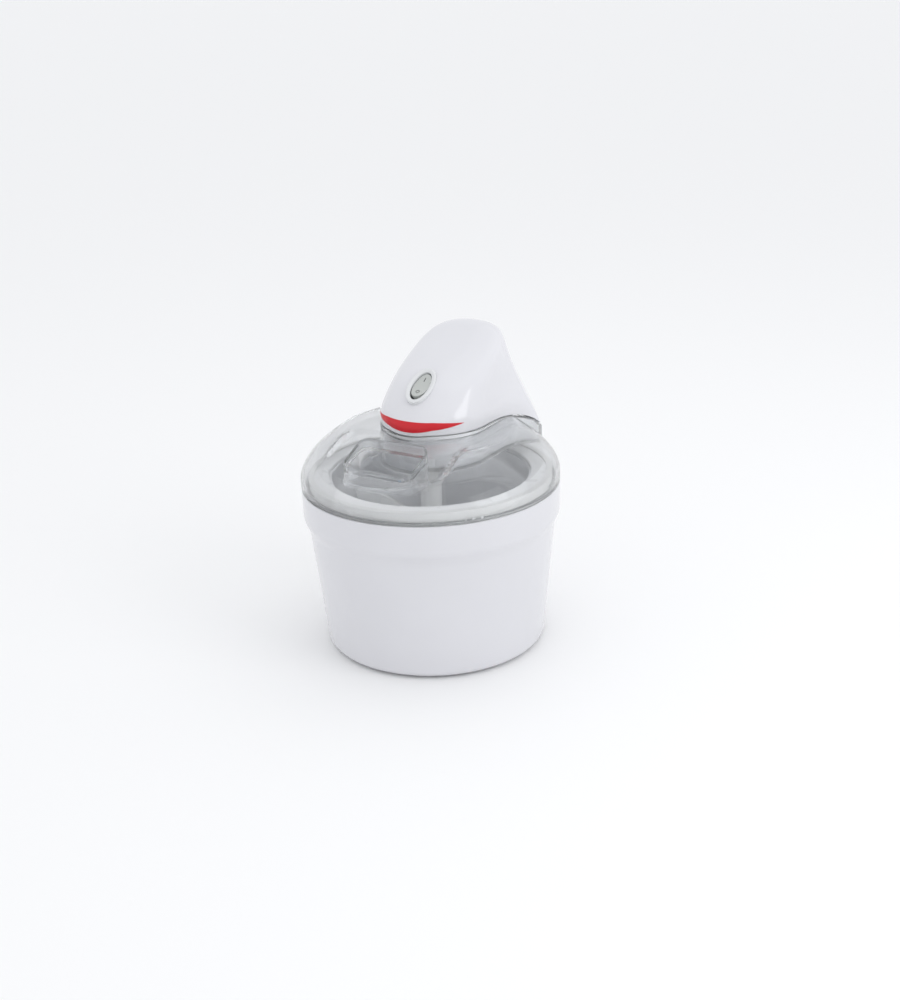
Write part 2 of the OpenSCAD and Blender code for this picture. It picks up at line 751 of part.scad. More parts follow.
// A crescent inlaid round the foot of the nose
module accent_strip() {
    keys = key_loops(-0.15);
    outer = key_loops(-0.9);
    rows = 3;
    function level(u, v) = 0.45 + 0.6 * u * u + v * (1 - u * u);
    function spot(set, u, v) =
        let (q = nose_steps * strip_half_a / 90 * u, i = floor(abs(q)), f = abs(q) - i,
            n = len(set[0]), l = loop_at(set, level(u, v)), a = l[i], b = l[i + 1], p = a + (b - a) * f)
        [q < 0 ? -p[0] : p[0], p[1], p[2]];
    grid = [for (set = [keys, outer], s = [-strip_steps:strip_steps], r = [0:rows])
        spot(set, s / strip_steps * 0.985, r / rows)];
    m = rows + 1;
    n = 2 * strip_steps + 1;
    function at(k, s, r) = (k * n + s) * m + r;
    inner_f = [for (s = [0:n - 2], r = [0:rows - 1])
        [at(0, s, r), at(0, s, r + 1), at(0, s + 1, r + 1), at(0, s + 1, r)]];
    outer_f = [for (s = [0:n - 2], r = [0:rows - 1])
        [at(1, s, r), at(1, s + 1, r), at(1, s + 1, r + 1), at(1, s, r + 1)]];
    low_f = [for (s = [0:n - 2]) [at(0, s, 0), at(0, s + 1, 0), at(1, s + 1, 0), at(1, s, 0)]];
    high_f = [for (s = [0:n - 2])
        [at(0, s, rows), at(1, s, rows), at(1, s + 1, rows), at(0, s + 1, rows)]];
    end_f = [for (r = [0:rows - 1]) [at(0, 0, r), at(1, 0, r), at(1, 0, r + 1), at(0, 0, r + 1)]];
    end_g = [for (r = [0:rows - 1])
        [at(0, n - 1, r), at(0, n - 1, r + 1), at(1, n - 1, r + 1), at(1, n - 1, r)]];
    quads = concat(inner_f, outer_f, low_f, high_f, end_f, end_g);
    color("red") polyhedron(grid, [for (q = quads, t = [[q[0], q[2], q[1]], [q[0], q[3], q[2]]]) t]);
}

// ---------- motor unit: switch ----------

module switch_bezel() {
    color("gainsboro") at_switch() difference() {
        translate([0, 0, -bezel_deep]) linear_extrude(bezel_deep + bezel_rise)
            polygon(oval(bezel_l, bezel_w));
        translate([0, 0, -bezel_deep - 1]) linear_extrude(bezel_deep + 5)
            polygon(oval(bezel_l - 2 * bezel_ring, bezel_w - 2 * bezel_ring));
    }
}

// Children in the frame of the rocker's pin, tipped to its first stop
module at_rocker() {
    at_switch() translate([0, 0, -pin_depth]) rotate([-rocker_travel / 2, 0, 0]) children();
}

module switch_rocker() {
    key_t = 5.5;
    color("silver") at_rocker() difference() {
        union() {
            translate([0, 0, pin_depth - key_t]) linear_extrude(key_t + bezel_rise - 0.7)
                polygon(oval(rocker_l, rocker_w));
            translate([-stem_w / 2, -3, -2.4]) cube([stem_w, 6, pin_depth]);
        }
        translate([-20, 0, 0]) rotate([0, 90, 0]) cylinder(r = pin_r + run_gap, h = 40, $fn = 32);
    }
}

module switch_body() {
    color("dimgray") at_switch() difference() {
        translate([-cell_w / 2, -cell_l / 2, cell_top - cell_h]) cube([cell_w, cell_l, cell_h]);
        translate([-stem_w / 2 - 0.6, -cell_l / 2 + 2, cell_top - 8]) cube([stem_w + 1.2, cell_l - 4, 20]);
        translate([-20, 0, -pin_depth]) rotate([0, 90, 0]) cylinder(r = pin_r, h = 40, $fn = 32);
    }
}

module rocker_pin() {
    color("silver") at_switch() translate([-cell_w / 2, 0, -pin_depth])
        rotate([0, 90, 0]) cylinder(r = pin_r, h = cell_w, $fn = 32);
}

module switch_terminals() {
    color("goldenrod") at_switch() for (y = [-7, 0, 7])
        translate([-2.4, y - 0.4, cell_top - cell_h - 8]) cube([4.8, 0.8, 8]);
}

// ---------- motor unit: cord inlet ----------

module cord_bush() {
    color("white") translate([0, tail_r - cover_t, cord_z]) rotate([-90, 0, 0]) difference() {
        union() {
            translate([0, 0, -2]) cylinder(r = cord_bush_r, h = cover_t + 3, $fn = 48);
            translate([0, 0, -3.5]) cylinder(r = cord_bush_r + cord_flange_w, h = 2, $fn = 48);
        }
        translate([0, 0, -5]) cylinder(r = cord_r, h = 30, $fn = 48);
    }
}

// A saddle that grips the cord inside the casing
module cord_clamp() {
    color("white") translate([0, clamp_y, motor_z + motor_h]) difference() {
        translate([-clamp_x - clamp_edge, -clamp_d / 2, 0])
            cube([2 * (clamp_x + clamp_edge), clamp_d, clamp_h]);
        translate([0, -10, cord_r - 0.6]) rotate([-90, 0, 0]) cylinder(r = cord_r, h = 20, $fn = 48);
        translate([-cord_r, -10, -1]) cube([2 * cord_r, 20, cord_r + 0.4]);
        for (x = [-clamp_x, clamp_x]) translate([x, 0, -1]) cylinder(r = screw_r, h = 20, $fn = 32);
    }
}

module clamp_screws() {
    color("silver") for (x = [-clamp_x, clamp_x])
        translate([x, clamp_y, motor_z + motor_h + clamp_h]) screw(clamp_h + can_t - 0.1);
}

// ---------- motor unit: drive ----------

// Involute gear outline with a little backlash
function inv_deg(a) = (tan(a) - a * PI / 180) * 180 / PI;
function flank(r, rb) = inv_deg(acos(min(rb / r, 1)));
function gear_points(teeth, phase) =
    let (rp = gear_step * teeth, rb = rp * cos(pressure_a), ra = rp + 0.95 * gear_m, rf = rp - 1.25 * gear_m,
        half = 90 / teeth - backlash / 2 / rp * 180 / PI + inv_deg(pressure_a), rs = max(rb, rf))
    [for (t = [0:teeth - 1], q = [[rf, rs, -1], [rs, rs, -1], [(rs + ra) / 2, 0, -1], [ra, 0, -1],
        [ra, 0, 1], [(rs + ra) / 2, 0, 1], [rs, rs, 1], [rf, rs, 1]])
        let (r = q[0], a = phase + 360 * t / teeth + q[2] * (half - flank(max(r, rs), rb)))
        [r * cos(a), r * sin(a)]];

module gearbox_tray_outline(extra) {
    circle(r = out_box_r + extra);
    translate([0, idler_y]) circle(r = idler_box_r + extra);
    translate([-box_neck_w / 2 - extra, 0]) square([box_neck_w + 2 * extra, motor_y + box_end]);
}

module gearbox_tray() {
    color("gainsboro") translate([0, 0, box_z]) difference() {
        union() {
            difference() {
                linear_extrude(box_lid_z - box_z) gearbox_tray_outline(box_wall);
                translate([0, 0, box_t]) linear_extrude(box_lid_z) gearbox_tray_outline(0);
            }
            at_places(box_posts, 0) cylinder(r = slim_post_r, h = box_lid_z - box_z, $fn = 32);
        }
        translate([0, 0, -1]) cylinder(r = spindle_r + bush_wall, h = box_t + 2, $fn = 48);
        translate([0, idler_y, -1]) cylinder(r = axle_r, h = box_t + 2, $fn = 48);
        at_places(box_posts, -1) cylinder(r = screw_r, h = big, $fn = 32);
        translate([0, 0, box_t]) linear_extrude(box_lid_z) {
            circle(r = out_box_r);
            translate([0, idler_y]) circle(r = idler_box_r);
        }
    }
}

module gearbox_lid() {
    color("gainsboro") translate([0, 0, box_lid_z]) difference() {
        union() {
            linear_extrude(motor_z - box_lid_z) gearbox_tray_outline(box_wall);
            at_places(box_posts, 0) cylinder(r = slim_post_r, h = motor_z - box_lid_z, $fn = 32);
            at_places(ear_places, 0) cylinder(r = post_r, h = motor_z - box_lid_z, $fn = 32);
            translate([-ear_x, motor_y - post_r, 0]) cube([2 * ear_x, 2 * post_r, motor_z - box_lid_z]);
        }
        translate([0, 0, -1]) cylinder(r = spindle_r + bush_wall, h = 10, $fn = 48);
        translate([0, idler_y, -1]) cylinder(r = axle_r, h = 10, $fn = 48);
        translate([0, motor_y, -1]) cylinder(r = motor_boss_r, h = 10, $fn = 48);
        at_places(concat(box_posts, ear_places), -1) cylinder(r = screw_r, h = 10, $fn = 32);
    }
}

module gearbox_screws() {
    length = motor_z - box_z + 5;
    color("silver") at_places(box_posts, motor_z) screw(length);
}

module idler_axle() {
    color("silver") translate([0, idler_y, box_z])
        cylinder(r = axle_r, h = motor_z - box_z, $fn = 48);
}

module output_bushes() {
    color("peru") for (z = [box_z, box_lid_z]) translate([0, 0, z]) difference() {
        cylinder(r = spindle_r + bush_wall, h = z == box_z ? box_t : motor_z - box_lid_z, $fn = 48);
        translate([0, 0, -1]) cylinder(r = spindle_r + run_gap, h = 10, $fn = 48);
    }
}

module motor_can() {
    color("silver") translate([0, motor_y, motor_z]) difference() {
        union() {
            cylinder(r = motor_r, h = motor_h);
            for (x = [-1, 1]) translate([x * ear_x, 0, 0]) cylinder(r = post_r, h = can_t, $fn = 32);
            translate([-ear_x, -post_r, 0]) cube([2 * ear_x, 2 * post_r, can_t]);
        }
        translate([0, 0, can_t]) cylinder(r = motor_r - can_t, h = motor_h - 2 * can_t);
        translate([0, 0, -1]) cylinder(r = rotor_shaft_r + motor_bush_w, h = motor_h + 2, $fn = 48);
        for (x = [-1, 1]) translate([x * ear_x, 0, -1]) cylinder(r = screw_r, h = 10, $fn = 32);
        for (x = [-1, 1]) translate([x * clamp_x, clamp_y - motor_y, motor_h - can_t - 1])
            cylinder(r = screw_r, h = 10, $fn = 32);
    }
}

module stator_coil() {
    color("peru") translate([0, motor_y, motor_z + can_t])
        ring(motor_r - can_t, rotor_r + 0.8, motor_h - 2 * can_t);
}

module motor_bushes() {
    color("goldenrod") for (z = [motor_z, motor_z + motor_h - can_t]) translate([0, motor_y, z])
        ring(rotor_shaft_r + motor_bush_w, rotor_shaft_r + run_gap, can_t);
}

module motor_screws() {
    color("silver") for (x = [-1, 1]) translate([x * ear_x, motor_y, motor_z + can_t])
        screw(can_t + motor_z - box_lid_z + 1);
}

module rotor_magnet() {
    color("dimgray") translate([0, motor_y, motor_z + 2 * can_t]) difference() {
        cylinder(r = rotor_r, h = motor_h - 4 * can_t);
        translate([0, 0, -1]) cylinder(r = rotor_shaft_r, h = motor_h + 2, $fn = 48);
    }
}

module rotor_shaft() {
    color("silver") translate([0, motor_y, idler_z - 1])
        cylinder(r = rotor_shaft_r, h = motor_z + motor_h - can_t / 2 - idler_z + 1, $fn = 48);
}

module motor_pinion() {
    color("goldenrod") translate([0, motor_y, idler_z - 0.5]) difference() {
        linear_extrude(gear_t + 1) polygon(gear_points(pinion_teeth, 0));
        translate([0, 0, -1]) cylinder(r = rotor_shaft_r, h = gear_t + 4, $fn = 48);
    }
}

module idler_gear() {
    color("white") translate([0, idler_y, 0]) difference() {
        union() {
            translate([0, 0, idler_z]) linear_extrude(gear_t)
                polygon(gear_points(idler_teeth, 180 / idler_teeth));
            translate([0, 0, out_z - 0.5]) linear_extrude(idler_z - out_z + 0.5 + eps)
                polygon(gear_points(pinion_teeth, 0));
        }
        cylinder(r = axle_r + run_gap, h = big, $fn = 48);
    }
}

module output_gear() {
    color("white") difference() {
        union() {
            translate([0, 0, out_z]) linear_extrude(gear_t) polygon(gear_points(out_teeth, 0));
            translate([0, 0, out_z - 1.5]) cylinder(r = spindle_r + 3, h = gear_t + 3);
        }
        translate([0, 0, out_z - 5]) cylinder(r = spindle_r, h = 30, $fn = 48);
    }
}

// Spindle of the output gear, ending below in a hexagonal socket
module drive_socket() {
    color("silver") difference() {
        union() {
            translate([0, 0, socket_z]) cylinder(r = socket_r, h = box_z - socket_z - 0.5);
            translate([0, 0, box_z - 1]) cylinder(r = spindle_r, h = motor_z - box_z + 0.6, $fn = 48);
        }
        translate([0, 0, socket_z - 1]) cylinder(r = shaft_r + 0.3, h = hex_z - socket_z + 1.6, $fn = 48);
        translate([0, 0, socket_z])
            cylinder(d = hex_d + hex_play, h = hex_z + hex_h + 0.6 - socket_z, $fn = 6);
    }
}

housing();
housing_feet();
bowl_shell();
bowl_liner();
coolant();
bowl_plug();
lid_seal();
lid();
shaft_bush();
paddle();
paddle_shaft();
motor_cover();
motor_tray();
accent_strip();
cover_screws();
switch_bezel();
switch_body();
switch_terminals();
switch_rocker();
rocker_pin();
cord_bush();
cord_clamp();
clamp_screws();
gearbox_tray();
gearbox_lid();
gearbox_screws();
idler_axle();
output_bushes();
motor_can();
stator_coil();
motor_bushes();
motor_screws();
rotor_magnet();
rotor_shaft();
motor_pinion();
idler_gear();
output_gear();
drive_socket();
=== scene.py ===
import math

import bmesh
import bpy
import numpy as np
from mathutils import Matrix, Vector


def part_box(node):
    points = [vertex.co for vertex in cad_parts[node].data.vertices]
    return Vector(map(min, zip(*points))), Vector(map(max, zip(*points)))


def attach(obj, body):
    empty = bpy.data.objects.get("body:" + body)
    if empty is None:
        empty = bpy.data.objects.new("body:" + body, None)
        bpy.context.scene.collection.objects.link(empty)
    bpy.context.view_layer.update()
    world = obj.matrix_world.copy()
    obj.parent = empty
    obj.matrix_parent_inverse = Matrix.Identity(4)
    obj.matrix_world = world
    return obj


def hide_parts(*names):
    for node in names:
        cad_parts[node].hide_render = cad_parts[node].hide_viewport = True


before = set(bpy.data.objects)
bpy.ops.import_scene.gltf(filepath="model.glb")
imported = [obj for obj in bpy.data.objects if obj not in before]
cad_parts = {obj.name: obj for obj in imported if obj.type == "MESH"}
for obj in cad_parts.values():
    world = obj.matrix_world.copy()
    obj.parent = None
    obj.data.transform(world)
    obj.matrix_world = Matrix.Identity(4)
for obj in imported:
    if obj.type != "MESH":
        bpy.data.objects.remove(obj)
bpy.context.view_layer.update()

# ---------- Studio ----------
# A pale table top in a white room: soft light from a wide panel overhead, a key panel on the
# right and a weak fill in front. The camera stands in front to the right and looks down.

camera_azimuth = math.radians(31.0)
camera_elevation = math.radians(21.03)
camera_roll = math.radians(-2.13)
camera_distance = 1.2
camera_aim_z = 0.1221
camera_aside = 0.01562
camera_lens = 50.63

back = Vector((math.sin(camera_azimuth) * math.cos(camera_elevation),
               -math.cos(camera_azimuth) * math.cos(camera_elevation),
               math.sin(camera_elevation)))
level_right = Vector((math.cos(camera_azimuth), math.sin(camera_azimuth), 0))
level_up = back.cross(level_right)
camera_x = level_right * math.cos(camera_roll) + level_up * math.sin(camera_roll)
camera_y = level_up * math.cos(camera_roll) - level_right * math.sin(camera_roll)
camera = bpy.data.objects.new("camera", bpy.data.cameras.new("camera"))
camera.data.lens = camera_lens
camera.matrix_world = Matrix.Translation(
    level_right * camera_aside + Vector((0, 0, camera_aim_z)) + back * camera_distance
) @ Matrix((camera_x, camera_y, back)).transposed().to_4x4()
bpy.context.scene.collection.objects.link(camera)
bpy.context.scene.camera = camera
bpy.context.scene.view_settings.view_transform = "Standard"

room = bpy.data.worlds.new("room")
room.use_nodes = True
room.node_tree.nodes["Background"].inputs["Color"].default_value = (0.97, 0.98, 1.0, 1)
room.node_tree.nodes["Background"].inputs["Strength"].default_value = 0.97
bpy.context.scene.world = room


def light_panel(name, place, aim, size, power):
    """A square soft panel at a place, facing a point."""
    lamp = bpy.data.lights.new(name, "AREA")
    lamp.size = size
    lamp.energy = power
    panel = bpy.data.objects.new(name, lamp)
    panel.location = place
    panel.rotation_mode = "QUATERNION"
    panel.rotation_quaternion = (Vector(aim) - Vector(place)).to_track_quat("-Z", "Y")
    bpy.context.scene.collection.objects.link(panel)


machine_middle = (0, 0, 0.13)
light_panel("overhead_panel", (0.1, 0.35, 1.3), machine_middle, 1.2, 0.9)
light_panel("key_panel", (1.2, -0.1, 0.75), machine_middle, 0.7, 3.0)
light_panel("fill_panel", (-0.5, -1.4, 0.6), machine_middle, 0.9, 0.1)

floor_half = 40.0
floor_mesh = bpy.data.meshes.new("floor")
floor_mesh.from_pydata([(-floor_half, -floor_half, 0), (floor_half, -floor_half, 0),
                        (floor_half, floor_half, 0), (-floor_half, floor_half, 0)], [], [(0, 1, 2, 3)])
floor = bpy.data.objects.new("floor", floor_mesh)
floor_paint = bpy.data.materials.new("floor_paint")
floor_paint.use_nodes = True
floor_shader = floor_paint.node_tree.nodes["Principled BSDF"]
floor_shader.inputs["Base Color"].default_value = (0.93, 0.93, 0.93, 1)
floor_shader.inputs["Roughness"].default_value = 0.8
floor_mesh.materials.append(floor_paint)
bpy.context.scene.collection.objects.link(floor)

# ---------- Housing ----------
# The outer tub that everything stands in: injection-moulded gloss white plastic, narrowing
# to a rounded foot, with a wider band at the rim, a ledge for the bowl and three lid tabs.

mm = 0.001


def size_of(node):
    """Lowest and highest corner of a node of the frame, in millimetres."""
    low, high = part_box(node)
    return low / mm, high / mm


def rounded(corners, closed=True, steps=7):
    """Outline in the plane with its corners rounded; each corner is (u, v, radius)."""
    line = []
    count = len(corners)
    for i, (u, v, radius) in enumerate(corners):
        here = np.array([u, v], float)
        if radius <= 0 or (not closed and i in (0, count - 1)):
            line.append(here)
            continue
        before = np.array(corners[i - 1][:2], float) - here
        after = np.array(corners[(i + 1) % count][:2], float) - here
        room_before, room_after = np.linalg.norm(before), np.linalg.norm(after)
        before, after = before / room_before, after / room_after
        half = math.acos(max(-1, min(1, float(before @ after)))) / 2
        reach = min(radius / math.tan(half), 0.48 * room_before, 0.48 * room_after)
        start, end = here + before * reach, here + after * reach
        centre = here + (before + after) / np.linalg.norm(before + after) * (reach / math.cos(half))
        first, last = start - centre, end - centre
        sweep = math.pi - 2 * half
        for k in range(steps + 1):
            a = sweep * k / steps
            line.append(centre + (math.sin(sweep - a) * first + math.sin(a) * last) / math.sin(sweep))
    return line


def solid(name, points, faces):
    """A new smooth-shaded piece from points in millimetres, its faces turned outwards."""
    mesh = bpy.data.meshes.new(name)
    mesh.from_pydata([tuple(float(c) * mm for c in p) for p in points], [], faces)
    work = bmesh.new()
    work.from_mesh(mesh)
    bmesh.ops.remove_doubles(work, verts=work.verts, dist=1e-6)
    bmesh.ops.recalc_face_normals(work, faces=work.faces)
    work.to_mesh(mesh)
    work.free()
    mesh.shade_smooth()
    piece = bpy.data.objects.new(name, mesh)
    bpy.context.scene.collection.objects.link(piece)
    return piece


def stacked(name, loops, ends="joined"):
    """A closed skin over loops of equal length; its ends are joined to each other or capped."""
    count = len(loops[0])
    points = [tuple(p) for loop in loops for p in loop]
    rows = len(loops)
    faces = []
    for r in range(rows if ends == "joined" else rows - 1):
        low, high = r * count, (r + 1) % rows * count
        faces += [(low + j, low + (j + 1) % count, high + (j + 1) % count, high + j) for j in range(count)]
    if ends == "capped":
        for r in (0, rows - 1):
            middle = np.mean(np.array(loops[r]), axis=0)
            points.append(tuple(middle))
            faces += [(r * count + j, r * count + (j + 1) % count, len(points) - 1) for j in range(count)]
    return solid(name, points, faces)


def turned(name, outline, centre=(0, 0), columns=192):
    """A piece turned about a vertical axis from an outline of (radius, height) points."""
    points, faces, rings = [], [], []
    for radius, height in outline:
        if radius < 1e-4:
            rings.append([len(points)] * columns)
            points.append((centre[0], centre[1], height))
            continue
        rings.append(range(len(points), len(points) + columns))
        for j in range(columns):
            a = 2 * math.pi * j / columns
            points.append((centre[0] + radius * math.cos(a), centre[1] + radius * math.sin(a), height))
    for r, low in enumerate(rings):
        high = rings[(r + 1) % len(rings)]
        for j in range(columns):
            face = []
            for v in (low[j], low[(j + 1) % columns], high[(j + 1) % columns], high[j]):
                if v not in face:
                    face.append(v)
            if len(face) > 2:
                faces.append(face)
    return solid(name, points, faces)


def shaped(piece):
    """Makes a piece's modifiers part of its mesh, without the empty finish that a cut leaves."""
    finished = bpy.data.meshes.new_from_object(piece.evaluated_get(bpy.context.evaluated_depsgraph_get()))
    finished.materials.clear()
    piece.modifiers.clear()
    piece.data = finished


crisp_edge = math.radians(32)


def joined(piece, tool, operation):
    """Joins a tool to a piece, or cuts it away, and keeps the edges between them crisp."""
    step = piece.modifiers.new("join", "BOOLEAN")
    step.operation = operation
    step.solver = "MANIFOLD"
    step.object = tool
    shaped(piece)
    bpy.data.objects.remove(tool)
    piece.data.shade_smooth()
    piece.data.set_sharp_from_angle(angle=crisp_edge)
    return piece


block_step = 1.5


def ring_block(name, inner, outer, low, high, middle, width, edge=0.3):
    """A block that follows part of a ring, centred on an angle in degrees."""
    corners = [(inner, low), (outer, low), (outer, high), (inner, high)]
    outline = rounded([(u, v, edge) for u, v in corners], steps=3)
    steps = max(2, int(width / block_step))
    loops = []
    for k in range(steps + 1):
        a = math.radians(middle - width / 2 + width * k / steps)
        loops.append([(r * math.cos(a), r * math.sin(a), z) for r, z in outline])
    return stacked(name, loops, "capped")


def new_material(name):
    """An empty node material, its shader and its coordinates in metres."""
    material = bpy.data.materials.new(name)
    material.use_nodes = True
    tree = material.node_tree
    place = tree.nodes.new("ShaderNodeTexCoord")
    return material, tree, tree.nodes["Principled BSDF"], place.outputs["Object"]


def noise(tree, place, scale, detail=2.0):
    """Noise over a surface; the scale is in features per metre."""
    pattern = tree.nodes.new("ShaderNodeTexNoise")
    pattern.inputs["Scale"].default_value = scale
    pattern.inputs["Detail"].default_value = detail
    tree.links.new(place, pattern.inputs["Vector"])
    return pattern.outputs["Fac"]


noise_low, noise_high = 0.3, 0.7


def spread(tree, value, low, high):
    """A noise value stretched from its usual span to another."""
    node = tree.nodes.new("ShaderNodeMapRange")
    node.inputs["From Min"].default_value = noise_low
    node.inputs["From Max"].default_value = noise_high
    node.inputs["To Min"].default_value = low
    node.inputs["To Max"].default_value = high
    tree.links.new(value, node.inputs["Value"])
    return node.outputs["Result"]


def tinted(tree, value, dark, light):
    """A colour that runs from dark to light with a value."""
    ramp = tree.nodes.new("ShaderNodeValToRGB")
    ramp.color_ramp.elements[0].position = noise_low
    ramp.color_ramp.elements[0].color = (*dark, 1)
    ramp.color_ramp.elements[1].position = noise_high
    ramp.color_ramp.elements[1].color = (*light, 1)
    tree.links.new(value, ramp.inputs["Fac"])
    return ramp.outputs["Color"]


def bumped(tree, shader, value, depth):
    """Raises a surface by a value times a depth in metres."""
    bump = tree.nodes.new("ShaderNodeBump")
    bump.inputs["Strength"].default_value = 1.0
    bump.inputs["Distance"].default_value = depth
    tree.links.new(value, bump.inputs["Height"])
    tree.links.new(bump.outputs["Normal"], shader.inputs["Normal"])


flow_scale, polish_scale = 14.0, 60.0
polish_low, polish_high = 0.85, 1.2


def moulded(name, colour, rough, grain_mm=9.0, depth_mm=0.006, shade=0.015, coat=0.0):
    """Moulded plastic: slight flow shading, uneven polish and the skin's own grain."""
    material, tree, shader, place = new_material(name)
    flow = noise(tree, place, flow_scale, 3.0)
    dark = tuple(c * (1 - shade) for c in colour)
    light = tuple(min(1.0, c * (1 + shade)) for c in colour)
    tree.links.new(tinted(tree, flow, dark, light), shader.inputs["Base Color"])
    polish = noise(tree, place, polish_scale, 4.0)
    tree.links.new(spread(tree, polish, rough * polish_low, rough * polish_high),
                   shader.inputs["Roughness"])
    bumped(tree, shader, noise(tree, place, 1000 / grain_mm, 2.0), depth_mm * mm)
    shader.inputs["IOR"].default_value = 1.49
    shader.inputs["Coat Weight"].default_value = coat
    shader.inputs["Coat Roughness"].default_value = 0.05
    return material


def dressed(node, material):
    """Gives a part of the frame its finish."""
    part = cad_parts[node]
    part.data.materials.clear()
    part.data.materials.append(material)


housing_low, housing_high = size_of("housing")
band_r = housing_high.x
rim_z = housing_high.z
foot_z = housing_low.z
wall_t = 2.2
band_h = 25.0
band_step = 4.3
swell_h = 9.0
taper = 11.0
bottom_edge_r = 10.0
groove_in, groove_out, groove_deep, groove_slant = 16.0, 11.5, 1.1, 1.0
ledge_low, ledge_high = 125.0, 128.0
ledge_in_r = 99.2
floor_z = foot_z + wall_t
wall_in_r = band_r - wall_t
waist_r = band_r - band_step
foot_r = waist_r - taper
band_z = rim_z - band_h

housing_gloss = moulded("housing_gloss", (0.68, 0.68, 0.71), 0.2, grain_mm=11, depth_mm=0.008, coat=0.35)
tub = turned("housing_tub", rounded([
    (0, foot_z, 0), (foot_r - groove_in, foot_z, 1.2),
    (foot_r - groove_in + groove_slant, foot_z + groove_deep, 1.2),
    (foot_r - groove_out - groove_slant, foot_z + groove_deep, 1.2),
    (foot_r - groove_out, foot_z, 1.2), (foot_r, foot_z, bottom_edge_r),
    (waist_r, band_z - swell_h, 22), (band_r, band_z, 12), (band_r, rim_z, 0.9), (wall_in_r, rim_z, 0.5),
    (wall_in_r, ledge_high, 0.6), (ledge_in_r, ledge_high, 0.5), (ledge_in_r, ledge_low, 0.5),
    (wall_in_r, ledge_low, 0.6), (wall_in_r, band_z, 8), (waist_r - wall_t, band_z - swell_h, 14),
    (foot_r - wall_t, floor_z, bottom_edge_r - wall_t), (0, floor_z, 0),
]), columns=256)
key_r, key_w, key_t, key_top = 99.5, 6.0, 1.6, 132.0
sink = 0.3
key_angles = [120 * k + 30 for k in range(3)]
for key_angle in key_angles:
    tub = joined(tub, ring_block("key", key_r, key_r + key_t, ledge_high - sink, key_top, key_angle,
                                 math.degrees(key_w / key_r)), "UNION")
tab_low, tab_h, tab_reach, tab_wide, tab_shift = 137.0, 2.5, 1.8, 13.0, 50.0
for k in range(3):
    tub = joined(tub, ring_block("tab", wall_in_r - tab_reach, wall_in_r + 0.4, tab_low, tab_low + tab_h,
                                 120 * k + tab_shift, tab_wide), "UNION")
tub.data.materials.append(housing_gloss)
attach(tub, "housing")
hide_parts("housing")

# ---------- Feet ----------
# Four soft rubber feet on the underside, each a thick disc on a stem that is pushed through
# the floor of the housing and held by its own shoulder.

foot_rubber = moulded("foot_rubber", (0.05, 0.05, 0.052), 0.75, grain_mm=0.6, depth_mm=0.03, shade=0.12)
feet_high = size_of("housing_feet")[1]
foot_disc_r = 7.0
foot_angle = math.radians(45)
foot_ring = (feet_high.x - foot_disc_r) / math.cos(foot_angle)
foot_stem_r, foot_head_r = 3.0, 4.5
grip_in, grip_out, grip_deep, grip_slant = 2.2, 1.1, 0.35, 0.3
for k in range(4):
    a = foot_angle + math.pi / 2 * k
    place = (foot_ring * math.cos(a), foot_ring * math.sin(a))
    foot = turned(f"rubber_foot_{k + 1}", rounded([
        (0, 0, 0), (foot_disc_r - grip_in, 0, 0.4), (foot_disc_r - grip_in + grip_slant, grip_deep, 0.3),
        (foot_disc_r - grip_out - grip_slant, grip_deep, 0.3), (foot_disc_r - grip_out, 0, 0.3),
        (foot_disc_r, 0, 0.6), (foot_disc_r, foot_z, 0.5), (foot_stem_r, foot_z, 0),
        (foot_stem_r, floor_z, 0), (foot_head_r, floor_z, 0.3), (foot_head_r, feet_high.z, 0.6),
        (0, feet_high.z, 0),
    ], steps=4), place, 48)
    foot.data.materials.append(foot_rubber)
    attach(foot, "housing")
    if k == 0:
        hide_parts("housing_feet")

# ---------- Freezer bowl ----------
# A double-walled bowl: an outer shell of white plastic welded round a spun aluminium liner,
# with blue coolant sealed between them and a plug where it was filled.

shell_low, shell_high = size_of("bowl_shell")
liner_low, liner_high = size_of("bowl_liner")
bowl_rim_r = shell_high.x
bowl_top = shell_high.z
bowl_bottom = shell_low.z
mouth_r, floor_in_r, liner_t, liner_corner = 83.0, 70.0, 1.5, 9.0
shell_wall_r = bowl_rim_r - 2.9
shell_foot_r, shell_corner, shell_t = 86.0, 8.0, 2.4
collar_z = ledge_high
liner_top, liner_floor = liner_high.z, liner_low.z + liner_t
liner_lip_r = liner_high.x

bowl_white = moulded("bowl_white", (0.87, 0.87, 0.87), 0.3, grain_mm=7, depth_mm=0.01)
shell = turned("bowl_outer_shell", rounded([
    (0, bowl_bottom, 0), (shell_foot_r, bowl_bottom, shell_corner), (shell_wall_r, collar_z, 0.8),
    (bowl_rim_r, collar_z, 0.8), (bowl_rim_r, bowl_top, 2.0), (mouth_r + liner_t, bowl_top, 2.4),
    (mouth_r + liner_t, liner_top, 0.2), (liner_lip_r, liner_top, 0), (liner_lip_r + 0.8, liner_top, 0),
    (shell_wall_r - shell_t, liner_top, 0.8), (shell_wall_r - shell_t, collar_z, 2),
    (shell_foot_r - shell_t, bowl_bottom + shell_t, shell_corner), (0, bowl_bottom + shell_t, 0),
]), columns=224)
slot_in, slot_out, slot_low, slot_high, slot_wide = 0.4, 6.0, 1.0, 4.5, 4.0
for key_angle in key_angles:
    slot = ring_block("slot", shell_wall_r + slot_in, shell_wall_r + slot_out, collar_z - slot_low,
                      collar_z + slot_high, key_angle, slot_wide)
    shell = joined(shell, slot, "DIFFERENCE")
shell.data.materials.append(bowl_white)
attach(shell, "bowl")
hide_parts("bowl_shell")


line_depth = 0.01 * mm


